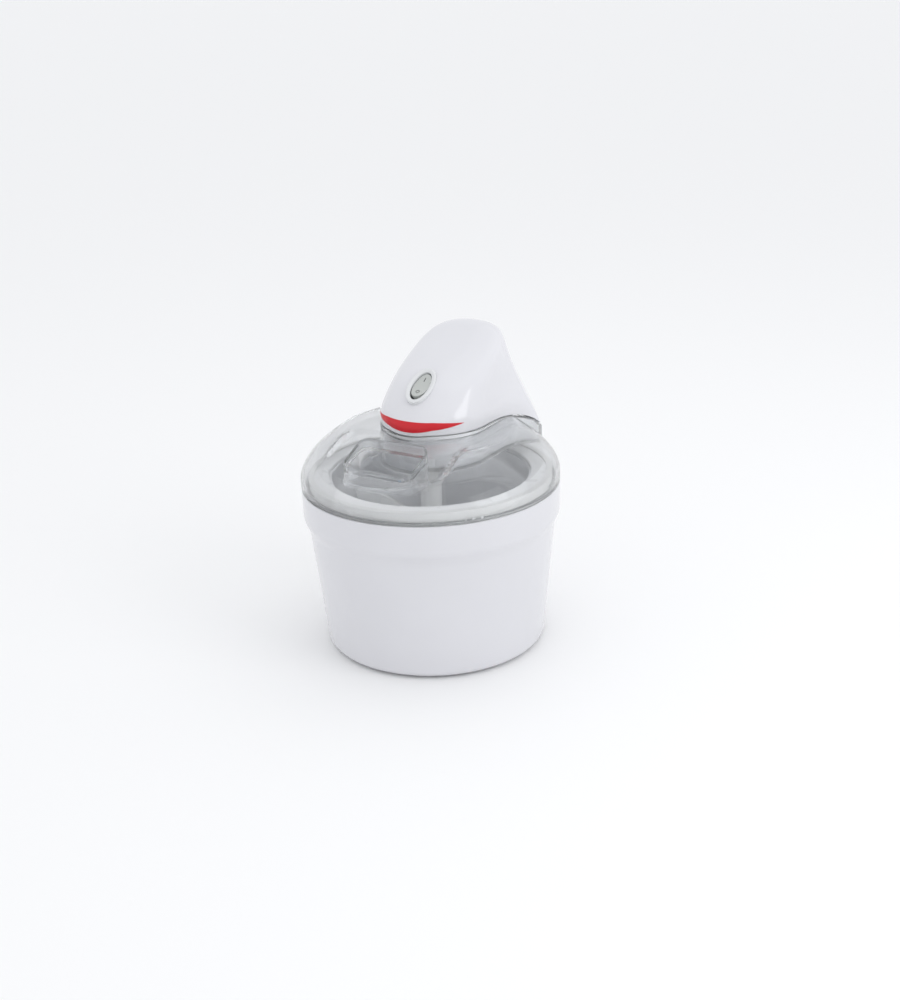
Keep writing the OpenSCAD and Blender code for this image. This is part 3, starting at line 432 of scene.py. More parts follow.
def spun_metal(name, colour, rough, line_mm=0.35):
    """Metal with fine rings left by a tool round the upright axis."""
    material, tree, shader, place = new_material(name)
    parts = tree.nodes.new("ShaderNodeSeparateXYZ")
    tree.links.new(place, parts.inputs["Vector"])
    flat = tree.nodes.new("ShaderNodeCombineXYZ")
    tree.links.new(parts.outputs["X"], flat.inputs["X"])
    tree.links.new(parts.outputs["Y"], flat.inputs["Y"])
    radius = tree.nodes.new("ShaderNodeVectorMath")
    radius.operation = "LENGTH"
    tree.links.new(flat.outputs["Vector"], radius.inputs[0])
    position = tree.nodes.new("ShaderNodeCombineXYZ")
    tree.links.new(radius.outputs["Value"], position.inputs["X"])
    tree.links.new(parts.outputs["Z"], position.inputs["Z"])
    lines = noise(tree, position.outputs["Vector"], 1000 / line_mm, 3.0)
    cloud = noise(tree, place, 30.0, 3.0)
    dark = tuple(c * 0.93 for c in colour)
    light = tuple(min(1, c * 1.05) for c in colour)
    tree.links.new(tinted(tree, lines, dark, light), shader.inputs["Base Color"])
    tree.links.new(spread(tree, cloud, rough * polish_low, rough * polish_high), shader.inputs["Roughness"])
    bumped(tree, shader, lines, line_depth)
    shader.inputs["Metallic"].default_value = 1.0
    return material


liner = turned("bowl_metal_liner", rounded([
    (0, liner_floor, 0), (floor_in_r, liner_floor, liner_corner + 3), (mouth_r, liner_top, 0.5),
    (liner_lip_r, liner_top, 0.2), (liner_lip_r, liner_top - liner_t, 0.2),
    (mouth_r + liner_t, liner_top - liner_t, 0.6), (floor_in_r + liner_t, liner_low.z, liner_corner + 4),
    (0, liner_low.z, 0),
], steps=12), columns=224)
liner.data.materials.append(spun_metal("liner_aluminium", (0.88, 0.885, 0.9), 0.5))
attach(liner, "bowl")
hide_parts("bowl_liner")

coolant_gel = moulded("coolant_gel", (0.35, 0.6, 0.82), 0.25, grain_mm=4, depth_mm=0.02, shade=0.08)
coolant_gel.node_tree.nodes["Principled BSDF"].inputs["Transmission Weight"].default_value = 0.4
dressed("coolant", coolant_gel)
dressed("bowl_plug", moulded("plug_plastic", (0.72, 0.72, 0.72), 0.5, grain_mm=1.5, depth_mm=0.02))

# ---------- Lid seal ----------
# A white silicone ring in the lid that sits over the bowl's rim. It stays with the lid when
# the lid comes off.

dressed("lid_seal", moulded("seal_silicone", (0.8, 0.8, 0.79), 0.55, grain_mm=1.2, depth_mm=0.01, shade=0.03))

# ---------- Lid ----------
# One clear moulding: a band and a dome, cut by a flat face that slopes to the front, a deep
# pocket with a raised lip for the motor unit, a filling chute, and a skirt with three lugs.

lid_high = size_of("lid")[1]
lid_r = lid_high.x
lid_z = 150.0
lid_t = 2.4
dome_h, dome_power, crown_h = 60.7, 1.65, 38.9
face_z, face_slope = 197.9, math.tan(math.radians(16.4))
face_back_w, face_front_w, face_run = 50.0, 58.0, 133.3
pocket_z = 162.2
pocket_gap, lip_out, lip_rise = 1.6, 1.0, 2.5
lip_h, lip_power = 42.0, 3.5
skirt_r, skirt_t, skirt_low, flange_z = 105.0, 1.8, 133.8, 144.0
crease_blend = 1.8
lip_fall, lip_round, wall_foot, pocket_corner = 1.3, 1.2, 1.8, 1.5
under_inset, under_corner = 0.4, 1.4

nose_w, nose_tip, nose_mid = 46.0, -34.0, 12.0
wing_w = 64.0
tail_r = band_r - 6.8
wing_y = math.sqrt(tail_r ** 2 - wing_w ** 2)
nose_columns, side_columns, tail_columns = 64, 56, 40


def half_outline(width, tip, middle, rear_w, rear_y, tail, flare, boxy=1.0):
    """Right half of a loop of the motor unit, from the nose back along the side to the tail."""
    points = []
    for k in range(nose_columns + 1):
        a = math.pi / 2 * k / nose_columns
        points.append((width * math.sin(a) ** boxy, middle - (middle - tip) * math.cos(a) ** boxy))
    for k in range(1, side_columns + 1):
        u = k / side_columns
        points.append((width + (rear_w - width) * u ** flare, middle + (rear_y - middle) * u))
    for k in range(1, tail_columns + 1):
        a = math.pi / 2 * k / tail_columns
        points.append((rear_w * math.cos(a), rear_y + (tail - rear_y) * math.sin(a)))
    return points


def both_sides(half, limit):
    """A whole loop from its right half, kept inside a radius."""
    whole = half + [(-x, y) for x, y in half[-2:0:-1]]
    return np.array([np.array(p) * min(1.0, limit / max(math.hypot(*p), 1e-9)) for p in whole])


def pocket_outline(inset):
    """The outline of the motor unit's foot, drawn in by an inset."""
    return both_sides(half_outline(nose_w - inset, nose_tip + inset, nose_mid, wing_w - inset,
                                   wing_y - 0.6 * inset, tail_r - inset, 4), tail_r - inset)


def soft_least(a, b, blend):
    """The lesser of two values, eased over a blend."""
    h = np.clip(0.5 + 0.5 * (b - a) / blend, 0, 1)
    return b * (1 - h) + a * h - blend * h * (1 - h)


def bulge(radius, height, edge, power):
    """Height of a dome of superellipse section."""
    return height * np.maximum(1 - np.minimum(radius / edge, 1) ** power, 0) ** (1 / power)


def dome_surface(x, y, inner):
    """Height of the lid's outer or inner face."""
    radius = np.hypot(x, y)
    drop = lid_t if inner else 0.0
    height = lid_z + soft_least(bulge(radius, dome_h - drop, lid_r - drop, dome_power), crown_h - drop, 1.5)
    plane = face_z + y * face_slope - (drop / math.cos(math.atan(face_slope)) if inner else 0.0)
    half_w = face_back_w + drop + (face_front_w - face_back_w) * np.clip(-y / face_run, 0, 1)
    side = np.clip((half_w - np.abs(x)) / crease_blend + 0.5, 0, 1)
    side = side * side * (3 - 2 * side)
    return height - side * np.maximum(height - soft_least(height, plane, 1.2), 0)


def lip_surface(x, y):
    """Height of the seam between the motor unit and the lip of its pocket."""
    low = lid_z + bulge(np.hypot(x, y), lip_h, lid_r, lip_power)
    return np.minimum(low, face_z + y * face_slope + lip_rise)


pocket_lip = pocket_outline(-lip_out)
closed_lip = np.vstack([pocket_lip, pocket_lip[:1]])
travel = np.concatenate([[0], np.cumsum(np.linalg.norm(np.diff(closed_lip, axis=0), axis=1))])
share = travel[:-1] / travel[-1]
polar = np.unwrap(np.arctan2(pocket_lip[:, 1], pocket_lip[:, 0]))
ring_angle = 0.7 * polar + 0.3 * (2 * math.pi * share - math.pi / 2)


def circle_loop(radius, height):
    """A circle whose points follow the points of the pocket's outline."""
    level = np.full(len(ring_angle), height)
    return np.stack([radius * np.cos(ring_angle), radius * np.sin(ring_angle), level], 1)


def at_height(outline, height):
    """An outline lifted to a height or to a height for each point."""
    return np.column_stack([outline, np.broadcast_to(height, len(outline))])


def dome_rows(edge_r, inner, rows):
    """Loops over the dome from its edge to the pocket."""
    edge = circle_loop(edge_r, 0)[:, :2]
    loops = []
    for k in range(rows + 1):
        t = (k / rows) ** 1.7
        plan = edge * (1 - t) + pocket_lip * t
        loops.append(at_height(plan, dome_surface(plan[:, 0], plan[:, 1], inner)))
    return loops


band_edge = rounded([(lid_r - 3, rim_z, 0), (lid_r, rim_z, 0.9), (lid_r, lid_z - 0.5, 0)],
                    closed=False, steps=5)
loops = [circle_loop(r, z) for r, z in band_edge[1:]]
loops += dome_rows(lid_r, False, 84)
lip_top = lip_surface(pocket_lip[:, 0], pocket_lip[:, 1])
lip_steps, corner_steps = 8, 4
for k in range(lip_steps + 1):
    a = math.pi * k / lip_steps
    plan = pocket_outline(-lip_out + (lip_out + pocket_gap) * (1 - math.cos(a)) / 2)
    loops.append(at_height(plan, lip_top - lip_fall + lip_round * math.sin(a)))
inner_plan = pocket_outline(pocket_gap)
for drop in (0.35, 0.7):
    loops.append(at_height(inner_plan, (lip_top - lip_fall) * (1 - drop) + (pocket_z + wall_foot) * drop))
for k in range(corner_steps + 1):
    a = math.pi / 2 * k / corner_steps
    plan = pocket_outline(pocket_gap + pocket_corner * (1 - math.cos(a)))
    loops.append(at_height(plan, pocket_z + pocket_corner * (1 - math.sin(a))))
bush_hole_r = 8.0
bush_plan = circle_loop(bush_hole_r, 0)[:, :2]
floor_plan = pocket_outline(pocket_gap + pocket_corner)
for t in (0.25, 0.5, 0.75, 1.0):
    loops.append(at_height(floor_plan * (1 - t) + bush_plan * t, pocket_z))
for t in (0.0, 0.33, 0.66, 1.0):
    loops.append(at_height(bush_plan * (1 - t) + pocket_outline(under_inset) * t, pocket_z - lid_t))
for k in range(1, corner_steps + 1):
    a = math.pi / 2 * k / corner_steps
    plan = pocket_outline(under_inset - under_corner * math.sin(a))
    loops.append(at_height(plan, pocket_z - lid_t + under_corner * (1 - math.cos(a))))
loops += dome_rows(lid_r - lid_t, True, 60)[::-1]
loops += [circle_loop(r, z) for r, z in rounded([
    (lid_r - lid_t, lid_z - 1, 0), (lid_r - lid_t, flange_z, 0.5), (skirt_r - skirt_t, flange_z, 0.5),
    (skirt_r - skirt_t, skirt_low, 0.4), (skirt_r, skirt_low, 0.4), (skirt_r, rim_z, 0.2),
    (lid_r - 2, rim_z, 0),
], closed=False, steps=4)]
lid = stacked("clear_lid", loops)

lug_reach, lug_h, lug_wide, lug_first = 106.8, 2.8, 11.0, 35.0
for k in range(3):
    lid = joined(lid, ring_block("lug", skirt_r - sink, lug_reach, skirt_low, skirt_low + lug_h,
                                 120 * k + lug_first, lug_wide), "UNION")

# The chute is a rectangular tube with rounded corners; its rim slopes up towards the back.
chute_w, chute_d, chute_front, chute_t = 66.0, 34.0, -85.0, 2.0
chute_corner, chute_low, chute_rim = 8.0, 160.0, 176.0
chute_slope = math.tan(math.radians(23.6))
way_low, way_high = 154.0, 230.0
rim_bulge, rim_start = 0.35, 1.2


def chute_loop(inset, height=None, below=0.0):
    """A loop round the chute, at a height or along its sloping rim."""
    w, d, r = chute_w / 2 - inset, chute_d / 2 - inset, chute_corner - inset
    middle = chute_front + chute_d / 2
    corners = [(-w, middle - d, r), (w, middle - d, r), (w, middle + d, r), (-w, middle + d, r)]
    line = rounded(corners, steps=12)
    return [(x, y, chute_rim + (y - chute_front) * chute_slope - below if height is None else height)
            for x, y in line]


way_loops = [chute_loop(chute_t * 0.5, height) for height in (way_low, way_high)]
lid = joined(lid, stacked("chute_way", way_loops, "capped"), "DIFFERENCE")
tube = [chute_loop(0, chute_low), chute_loop(0, below=rim_start)]
for k in range(1, lip_steps):
    a = math.pi * k / lip_steps
    inset = -rim_bulge + rim_bulge * math.cos(a) + chute_t / 2 * (1 - math.cos(a))
    tube.append(chute_loop(inset, below=1.0 - math.sin(a)))
tube += [chute_loop(chute_t, below=rim_start), chute_loop(chute_t, chute_low + 1),
         chute_loop(chute_t - 0.6, chute_low)]
lid = joined(lid, stacked("chute_tube", tube), "UNION")


def clear_plastic(name, colour, rough):
    """Clear moulded plastic with faint flow waves. Rays on their way to a lamp pass straight."""
    material, tree, shader, place = new_material(name)
    polish = noise(tree, place, 45.0, 4.0)
    tree.links.new(spread(tree, polish, rough, rough * 2.6), shader.inputs["Roughness"])
    bumped(tree, shader, noise(tree, place, 70.0, 1.5), 0.012 * mm)
    shader.inputs["Base Color"].default_value = (*colour, 1)
    shader.inputs["Transmission Weight"].default_value = 0.96
    shader.inputs["Alpha"].default_value = 0.8
    shader.inputs["IOR"].default_value = 1.36
    rays = tree.nodes.new("ShaderNodeLightPath")
    straight = tree.nodes.new("ShaderNodeBsdfTransparent")
    straight.inputs["Color"].default_value = (0.93, 0.94, 0.95, 1)
    mix = tree.nodes.new("ShaderNodeMixShader")
    tree.links.new(rays.outputs["Is Shadow Ray"], mix.inputs["Fac"])
    tree.links.new(shader.outputs["BSDF"], mix.inputs[1])
    tree.links.new(straight.outputs["BSDF"], mix.inputs[2])
    tree.links.new(mix.outputs["Shader"], tree.nodes["Material Output"].inputs["Surface"])
    return material


lid.data.materials.append(clear_plastic("lid_clear", (0.965, 0.975, 0.985), 0.012))
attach(lid, "lid")
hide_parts("lid")

# ---------- Shaft bush ----------
# A waxy white acetal bush pressed into the floor of the pocket. The paddle shaft turns in it.

bush_acetal = moulded("bush_acetal", (0.78, 0.78, 0.75), 0.45, grain_mm=1.5, depth_mm=0.01, shade=0.03)
dressed("shaft_bush", bush_acetal)

# ---------- Paddle ----------
# A white frame with two arms that scrape the bowl, moulded in one with a hub and small
# leaning blades, pressed on to a steel shaft whose top end is a hexagon.

paddle_low, paddle_high = size_of("paddle")
arm_low = paddle_low.z
arm_high = 127.2
arm_t, bar_w = 4.0, 11.0
arm_foot_r, arm_top_r = 67.0, 77.65
hub_r, hub_top = 9.0, paddle_high.z
shaft_hole_r, shaft_hole_low = 5.0, 3.0
blade_w, blade_low, blade_high, blade_t = 18.0, 6.0, 32.0, 3.0
blade_turn, blade_first, blade_apart = math.radians(90 + 22), 28, 18


def slab(name, outline, thickness, edge=0.8):
    """A flat slab in the XZ plane with softened edges, centred on Y."""
    count = len(outline)
    points = [(x, -thickness / 2, z) for x, z in outline] + [(x, thickness / 2, z) for x, z in outline]
    faces = [tuple(range(count)), tuple(range(2 * count - 1, count - 1, -1))]
    faces += [(j, (j + 1) % count, count + (j + 1) % count, count + j) for j in range(count)]
    piece = solid(name, points, faces)
    soften = piece.modifiers.new("edge", "BEVEL")
    soften.width = edge * mm
    soften.segments = 3
    soften.limit_method = "ANGLE"
    soften.angle_limit = math.radians(50)
    shaped(piece)
    return piece


paddle = turned("paddle_frame", rounded([
    (shaft_hole_r, arm_low + shaft_hole_low, 0), (shaft_hole_r, hub_top, 0.5), (hub_r, hub_top, 1.0),
    (hub_r, arm_low, 1.2), (0, arm_low, 0), (0, arm_low + shaft_hole_low, 0)]), columns=72)
for side in (1, -1):
    arm = slab("arm", [(side * x, z) for x, z in rounded([
        (hub_r - 2, arm_low, 0), (arm_foot_r, arm_low, 11), (arm_top_r, arm_high, 4),
        (arm_top_r - bar_w, arm_high, 4), (hub_r - 2, arm_high - 2 * bar_w - 2, 0)])], arm_t)
    window = slab("window", [(side * x, z) for x, z in rounded([
        (hub_r + 5, arm_low + bar_w, 4), (arm_foot_r - bar_w - 1, arm_low + bar_w, 6),
        (arm_top_r - bar_w, arm_high - 1.6 * bar_w, 4), (hub_r + 5, arm_high - 3 * bar_w, 4)])],
                  arm_t + 4, 0.1)
    paddle = joined(paddle, joined(arm, window, "DIFFERENCE"), "UNION")
    for k in range(2):
        blade = slab("blade", rounded([
            (-blade_w / 2, arm_low + blade_low, 2), (blade_w / 2, arm_low + blade_low, 2),
            (blade_w / 2, arm_low + blade_high, 2), (-blade_w / 2, arm_low + blade_high, 2)]), blade_t, 0.5)
        blade.data.transform(Matrix.Rotation(blade_turn, 4, "Z"))
        blade.data.transform(Matrix.Translation(Vector((blade_first + blade_apart * k, 0, 0)) * mm))
        if side < 0:
            blade.data.transform(Matrix.Rotation(math.pi, 4, "Z"))
        paddle = joined(paddle, blade, "UNION")
paddle.data.materials.append(moulded("paddle_white", (0.85, 0.85, 0.84), 0.33, grain_mm=5, depth_mm=0.008))
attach(paddle, "paddle")
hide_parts("paddle")
dressed("paddle_shaft", spun_metal("shaft_steel", (0.6, 0.6, 0.61), 0.28, 0.2))

# ---------- Motor cover ----------
# The upper half of the motor unit: a gloss white moulding with a round nose that leans back to
# a high shoulder and flares into two low wings. Its lower edge follows the lip of the lid.

unit_h = 112.5
cover_t = 2.6
seam_gap = 0.5
nose_box, box_fade = 0.88, 20
foot_rise, foot_draw = 8, 6
cover_keys = [  # height over the band, nose width, tip, middle, rear width, rear start, tail, flare
    (57, 44.6, -28.5, 15, 47, wing_y - 2, tail_r - 1, 3),
    (67, 43, -20, 22, 43, wing_y - 5, tail_r - 2.5, 2),
    (79, 41.5, -6, 35, 40.5, wing_y - 11, tail_r - 5.5, 2),
    (91, 39.5, 20, 50, 38, wing_y - 15, tail_r - 9, 2),
    (100, 36, 43, 60, 35, wing_y - 14, tail_r - 12, 2),
    (107, 29, 59, 69, 29, wing_y - 9, tail_r - 15, 2),
    (111, 18, 68, 75, 18, wing_y - 4, tail_r - 19, 2),
    (unit_h, 5, 75, 77, 5, wing_y - 2, tail_r - 23, 2),
]


def foot_key(inset, rise, rear_w):
    """A loop of the cover that follows the seam."""
    plan = both_sides(half_outline(nose_w - inset, nose_tip + inset, nose_mid, rear_w - inset, wing_y,
                                   tail_r - inset, 4), tail_r - inset)
    return at_height(plan, lip_surface(plan[:, 0], plan[:, 1]) + seam_gap + rise)


def seam_key(inset):
    """The cover's lowest loop, drawn in but level with its outer edge."""
    seam = foot_key(inset, 0, wing_w)
    seam[:, 2] = foot_key(0, 0, wing_w)[:, 2]
    return seam


def upper_key(key, inset):
    """A level loop of the cover."""
    height, width, tip, middle, rear_w, rear_y, tail, flare = key
    boxy = 1 - (1 - nose_box) * min(1, max(0, (unit_h - height) / box_fade))
    half = half_outline(max(width - inset, 2), min(tip + inset, 76), middle, max(rear_w - inset, 2),
                        rear_y, max(tail - inset, rear_y + 1), flare, boxy)
    plan = both_sides(half, tail_r)
    return at_height(plan, lid_z + height - inset)


def loop_between(keys, k, t):
    """A loop a share t of the way from one key loop to the next, on a smooth curve."""
    a, b = keys[max(k - 1, 0)], keys[k]
    c, d = keys[k + 1], keys[min(k + 2, len(keys) - 1)]
    return 0.5 * (2 * b + (c - a) * t + (2 * a - 5 * b + 4 * c - d) * t ** 2
                  + (3 * b - a - 3 * c + d) * t ** 3)


def cover_loops(inset, steps):
    """Loops up the cover, with a smooth curve through the key loops."""
    keys = [seam_key(inset), foot_key(inset, foot_rise - inset, wing_w - foot_draw)]
    keys += [upper_key(k, inset) for k in cover_keys]
    rows = []
    for r in range(steps * (len(keys) - 1) + 1):
        k = min(r // steps, len(keys) - 2)
        rows.append(loop_between(keys, k, r / steps - k))
    return rows


def closed_top(loops):
    """Two last loops that draw the top together to a point."""
    last = loops[-1]
    middle = np.array([0, (last[:, 1].min() + last[:, 1].max()) / 2, last[0, 2] + 0.3])
    return loops + [last * 0.5 + middle * 0.5, np.tile(middle, (len(last), 1))]


outer = closed_top(cover_loops(0, 8))
inner = closed_top(cover_loops(cover_t, 5))
seam_edge = [outer[0] * (1 - t) + inner[0] * t for t in (0.08, 0.92)]
cover = stacked("motor_cover_shell", outer[::-1] + seam_edge + inner)

switch_y, switch_z, switch_tilt = -9.4, 226.5, math.radians(35)
to_switch = Matrix.Translation(Vector((0, switch_y, switch_z)) * mm) @ Matrix.Rotation(switch_tilt, 4, "X")
bezel_l, bezel_w, bezel_ring, bezel_rise, bezel_depth = 37.0, 24.0, 4.0, 1.2, 7
well_play, switch_well = 0.1, (-14, 16)


def oval(length, width, height, count=96):
    """An oval loop across the switch, at a height over the cover."""
    angles = [2 * math.pi * j / count for j in range(count)]
    return [(width / 2 * math.cos(a), length / 2 * math.sin(a), height) for a in angles]


well = stacked("switch_well", [oval(bezel_l + well_play, bezel_w + well_play, height)
                               for height in switch_well], "capped")
well.data.transform(to_switch)
cover = joined(cover, well, "DIFFERENCE")
bush_low, bush_high = size_of("cord_bush")
inlet_z = (bush_low.z + bush_high.z) / 2
inlet_r, inlet_in, inlet_long = 6.0, 14.0, 40.0


def laid_back(piece, start_y):
    """Lays an upright turned piece down at the inlet, so that it runs towards the back."""
    piece.data.transform(Matrix.Translation(Vector((0, start_y, inlet_z)) * mm)
                         @ Matrix.Rotation(-math.pi / 2, 4, "X"))


inlet = turned("inlet", [(0, 0), (inlet_r, 0), (inlet_r, inlet_long), (0, inlet_long)], columns=64)
laid_back(inlet, tail_r - inlet_in)
cover = joined(cover, inlet, "DIFFERENCE")
cover_gloss = moulded("cover_gloss", (0.71, 0.71, 0.74), 0.16, grain_mm=13, depth_mm=0.008, coat=0.45)
cover.data.materials.append(cover_gloss)
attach(cover, "motor_unit")
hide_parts("motor_cover")

# ---------- Accent strip ----------
# A thin crescent of polished red plastic, inlaid round the foot of the nose.

strip_half = math.radians(62)
strip_columns, strip_rows = 72, 8
strip_low, strip_rise, strip_reach = 0.45, 0.6, 0.985
strip_edge, strip_swell, strip_sunk = 0.12, 0.33, 0.5


def strip_point(keys, u, v):
    """A point of the strip: u runs along it from tip to tip and v across it."""
    level = strip_low + strip_rise * u * u + v * (1 - u * u)
    step = min(int(level), len(keys) - 2)
    loop = loop_between(keys, step, level - step)
    place = abs(u) * strip_half / (math.pi / 2) * nose_columns
    i = int(place)
    point = loop[i] + (loop[i + 1] - loop[i]) * (place - i)
    return (point[0] if u >= 0 else -point[0], point[1], point[2])


def strip_keys(proud):
    """The two seam loops and the next loops up, set proud of the cover."""
    low_keys = [seam_key(-proud), foot_key(-proud, foot_rise, wing_w - foot_draw)]
    return low_keys + [upper_key(k, -proud) for k in cover_keys[:3]]


strip_loops = []
for k in range(strip_columns + 1):
    u = strip_reach * (2 * k / strip_columns - 1)
    swell = strip_edge + strip_swell * (1 - u * u) ** 0.5
    loop = []
    for r in range(strip_rows + 1):
        crown = math.sin(math.pi * (0.12 + 0.76 * r / strip_rows)) ** 0.4
        loop.append(strip_point(strip_keys(swell * crown), u, r / strip_rows))
    loop += [strip_point(strip_keys(-strip_sunk), u, v) for v in (1.0, 0.0)]
    strip_loops.append(loop)
strip = stacked("red_crescent", strip_loops, "capped")
strip.data.set_sharp_from_angle(angle=math.radians(50))
strip.data.materials.append(moulded("accent_red", (0.6, 0.0, 0.01), 0.42, grain_mm=8, depth_mm=0.004,
                                    shade=0.03, coat=0.1))
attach(strip, "motor_unit")
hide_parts("accent_strip")

# ---------- Switch ----------
# A rocker switch in an oval bezel on the slope of the nose. The bezel is a satin grey ring that
# clips into the cover; the silver rocker tips on a steel pin in a black body with brass blades.

bezel_profile = rounded([
    (0, -bezel_depth, 0.3), (0, bezel_rise - 0.2, 1.2), (bezel_ring * 0.45, bezel_rise + 0.1, 2.5),
    (bezel_ring, bezel_rise - 0.9, 0.5), (bezel_ring, -bezel_depth, 0.3)], steps=6)
bezel_loops = [oval(bezel_l - 2 * inset, bezel_w - 2 * inset, height, 128) for inset, height in bezel_profile]
bezel = stacked("switch_bezel_ring", bezel_loops)
bezel.data.transform(to_switch)
bezel_satin = moulded("bezel_satin", (0.7, 0.71, 0.72), 0.26, grain_mm=2, depth_mm=0.004, coat=0.2)
bezel.data.materials.append(bezel_satin)
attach(bezel, "motor_unit")
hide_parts("switch_bezel")

rocker_l, rocker_w, rocker_rest = 26.0, 15.0, math.radians(-6)
pin_depth, rocker_top = 9.0, 9.5
dish = 1.3


def on_rocker(y):
    """Height of the rocker's dished top over its pivot."""
    return rocker_top - dish * (1 - (y / (rocker_l / 2)) ** 2)


def rocker_skin(share, drop=0.0):
    """A loop over the rocker's dished top, out to a share of its size."""
    return [(x, y, on_rocker(y) - drop) for x, y, _ in oval(rocker_l * share, rocker_w * share, 0)]


rocker_loops = [oval(rocker_l - 1.2, rocker_w - 1.2, pin_depth - 5.5),
                oval(rocker_l, rocker_w, pin_depth - 4.9)]
rocker_loops += [rocker_skin(1 - 0.06 * (1 - math.cos(a)), 0.75 * (1 - math.sin(a)))
                 for a in (math.pi / 2 * k / 5 for k in range(6))]
rocker_loops += [rocker_skin(s) for s in (0.85, 0.7, 0.5, 0.3, 0.12)]
rocker = stacked("switch_rocker_key", rocker_loops, "capped")
stem_r, stem_low, stem_high = 3.0, -2.4, 5.0
axle_r, axle_reach = 1.25, 20.0
stem = turned("stem", rounded([(0, stem_low, 0), (stem_r, stem_low, 0.5), (stem_r, stem_high, 0.3),
                               (0, stem_high, 0)]), columns=48)
rocker = joined(rocker, stem, "UNION")
axle_hole = turned("axle_hole", [(0, -axle_reach), (axle_r, -axle_reach), (axle_r, axle_reach),
                                 (0, axle_reach)], columns=32)
axle_hole.data.transform(Matrix.Rotation(math.pi / 2, 4, "Y"))
rocker = joined(rocker, axle_hole, "DIFFERENCE")
tip_rocker = (to_switch @ Matrix.Translation(Vector((0, 0, -pin_depth)) * mm)
              @ Matrix.Rotation(rocker_rest, 4, "X"))
rocker.data.transform(tip_rocker)
rocker_finish = moulded("rocker_silver", (0.5, 0.52, 0.5), 0.3, grain_mm=0.5, depth_mm=0.004, shade=0.04,
                        coat=0.25)
rocker_finish.node_tree.nodes["Principled BSDF"].inputs["Metallic"].default_value = 0.35
rocker.data.materials.append(rocker_finish)
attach(rocker, "rocker")
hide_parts("switch_rocker")

mark_grey = moulded("mark_grey", (0.1, 0.1, 0.1), 0.5, grain_mm=0.4, depth_mm=0.004, shade=0.05)


def set_on_rocker(mark, y):
    """Lays a mark made at the origin flat on the dished top."""
    slope = math.atan(2 * dish * y / (rocker_l / 2) ** 2)
    mark.data.transform(Matrix.Translation(Vector((0, y, on_rocker(y))) * mm)
                        @ Matrix.Rotation(slope, 4, "X"))


ring_y, bar_y = -7.2, 6.6
ring_in_r, ring_out_r, mark_low, mark_high = 1.15, 1.75, -0.3, 0.15
off_mark = turned("off_ring", rounded([
    (ring_in_r, mark_low, 0.05), (ring_out_r, mark_low, 0.05), (ring_out_r, mark_high, 0.1),
    (ring_in_r, mark_high, 0.1)], steps=3), (0, 0), 48)
set_on_rocker(off_mark, ring_y)
bar_bend_r, bar_half_t, bar_long = 100.0, 0.35, 4
on_mark = ring_block("on_bar", bar_bend_r - bar_half_t, bar_bend_r + bar_half_t, mark_low, mark_high, 0,
                     math.degrees(bar_long / bar_bend_r), 0.08)
on_mark.data.transform(Matrix.Translation(Vector((-bar_bend_r, 0, 0)) * mm))
set_on_rocker(on_mark, bar_y)
for mark in (off_mark, on_mark):
    mark.data.transform(tip_rocker)
    mark.data.materials.append(mark_grey)
    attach(mark, "rocker")

switch_black = moulded("switch_black", (0.02, 0.02, 0.022), 0.45, grain_mm=0.8, depth_mm=0.02, shade=0.1)
dressed("switch_body", switch_black)
brass = spun_metal("brass_strip", (0.62, 0.44, 0.16), 0.3, 0.3)
dressed("switch_terminals", brass)
pin_steel = spun_metal("pin_steel", (0.6, 0.6, 0.61), 0.25, 0.15)
dressed("rocker_pin", pin_steel)

# ---------- Cord inlet ----------
# A white flexible bush low on the tail, and a saddle inside that grips the mains cord.

inlet_white = moulded("inlet_white", (0.8, 0.8, 0.8), 0.42, grain_mm=1.5, depth_mm=0.015)
bore_r = 3.6
bush_len = bush_high.y - bush_low.y
bush_flange = 1.9
bush = turned("cord_inlet_bush", rounded([
    (bore_r, 0, 0.4), (bush_high.x, 0, 0.4), (bush_high.x, bush_flange, 0.2), (inlet_r, bush_flange, 0.1),
    (inlet_r, bush_len - 0.9, 0.1), (inlet_r - 0.2, bush_len, 0.7), (bore_r, bush_len, 0.8),
], steps=5), columns=96)
laid_back(bush, bush_low.y)
bush.data.materials.append(inlet_white)
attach(bush, "motor_unit")
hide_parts("cord_bush")
dressed("cord_clamp", inlet_white)

# ---------- Motor tray ----------
# The lower half of the motor unit: a white pan that fills the pocket of the lid, with screw
# wells in its floor and a round opening for the drive socket.

tray_low, tray_high = size_of("motor_tray")
tray_z, tray_t, tray_inset = tray_low.z, 2.0, 2.1
socket_hole_r = 9.6
tray_corner, tray_under_lip, round_steps = 2.2, 1.6, 6
tray_loops = []
tray_top = np.minimum(lip_top - tray_under_lip, tray_high.z)
for k in range(round_steps + 1):
    a = math.pi / 2 * k / round_steps
    tray_loops.append(at_height(pocket_outline(tray_inset + tray_corner * (1 - math.sin(a))),
                                tray_z + tray_corner * (1 - math.cos(a))))
for t in (0.3, 0.6, 1.0):
    tray_loops.append(at_height(pocket_outline(tray_inset), (tray_z + tray_corner) * (1 - t) + tray_top * t))
tray_loops.append(at_height(pocket_outline(tray_inset + tray_t), tray_top))
tray_loops.append(at_height(pocket_outline(tray_inset + tray_t), tray_z + tray_t))
pan_plan = pocket_outline(tray_inset + tray_t)
hole_plan = circle_loop(socket_hole_r, 0)[:, :2]
for t in (0.3, 0.6, 1.0):
    tray_loops.append(at_height(pan_plan * (1 - t) + hole_plan * t, tray_z + tray_t))
for t in (0.0, 0.3, 0.6, 0.95):
    tray_loops.append(at_height(hole_plan * (1 - t) + pocket_outline(tray_inset + tray_corner) * t, tray_z))
tray = stacked("motor_tray_pan", tray_loops)
tray.data.set_sharp_from_angle(angle=math.radians(40))
screw_places = [(side * x, y) for x, y in ((34, 78), (33, 0)) for side in (-1, 1)]
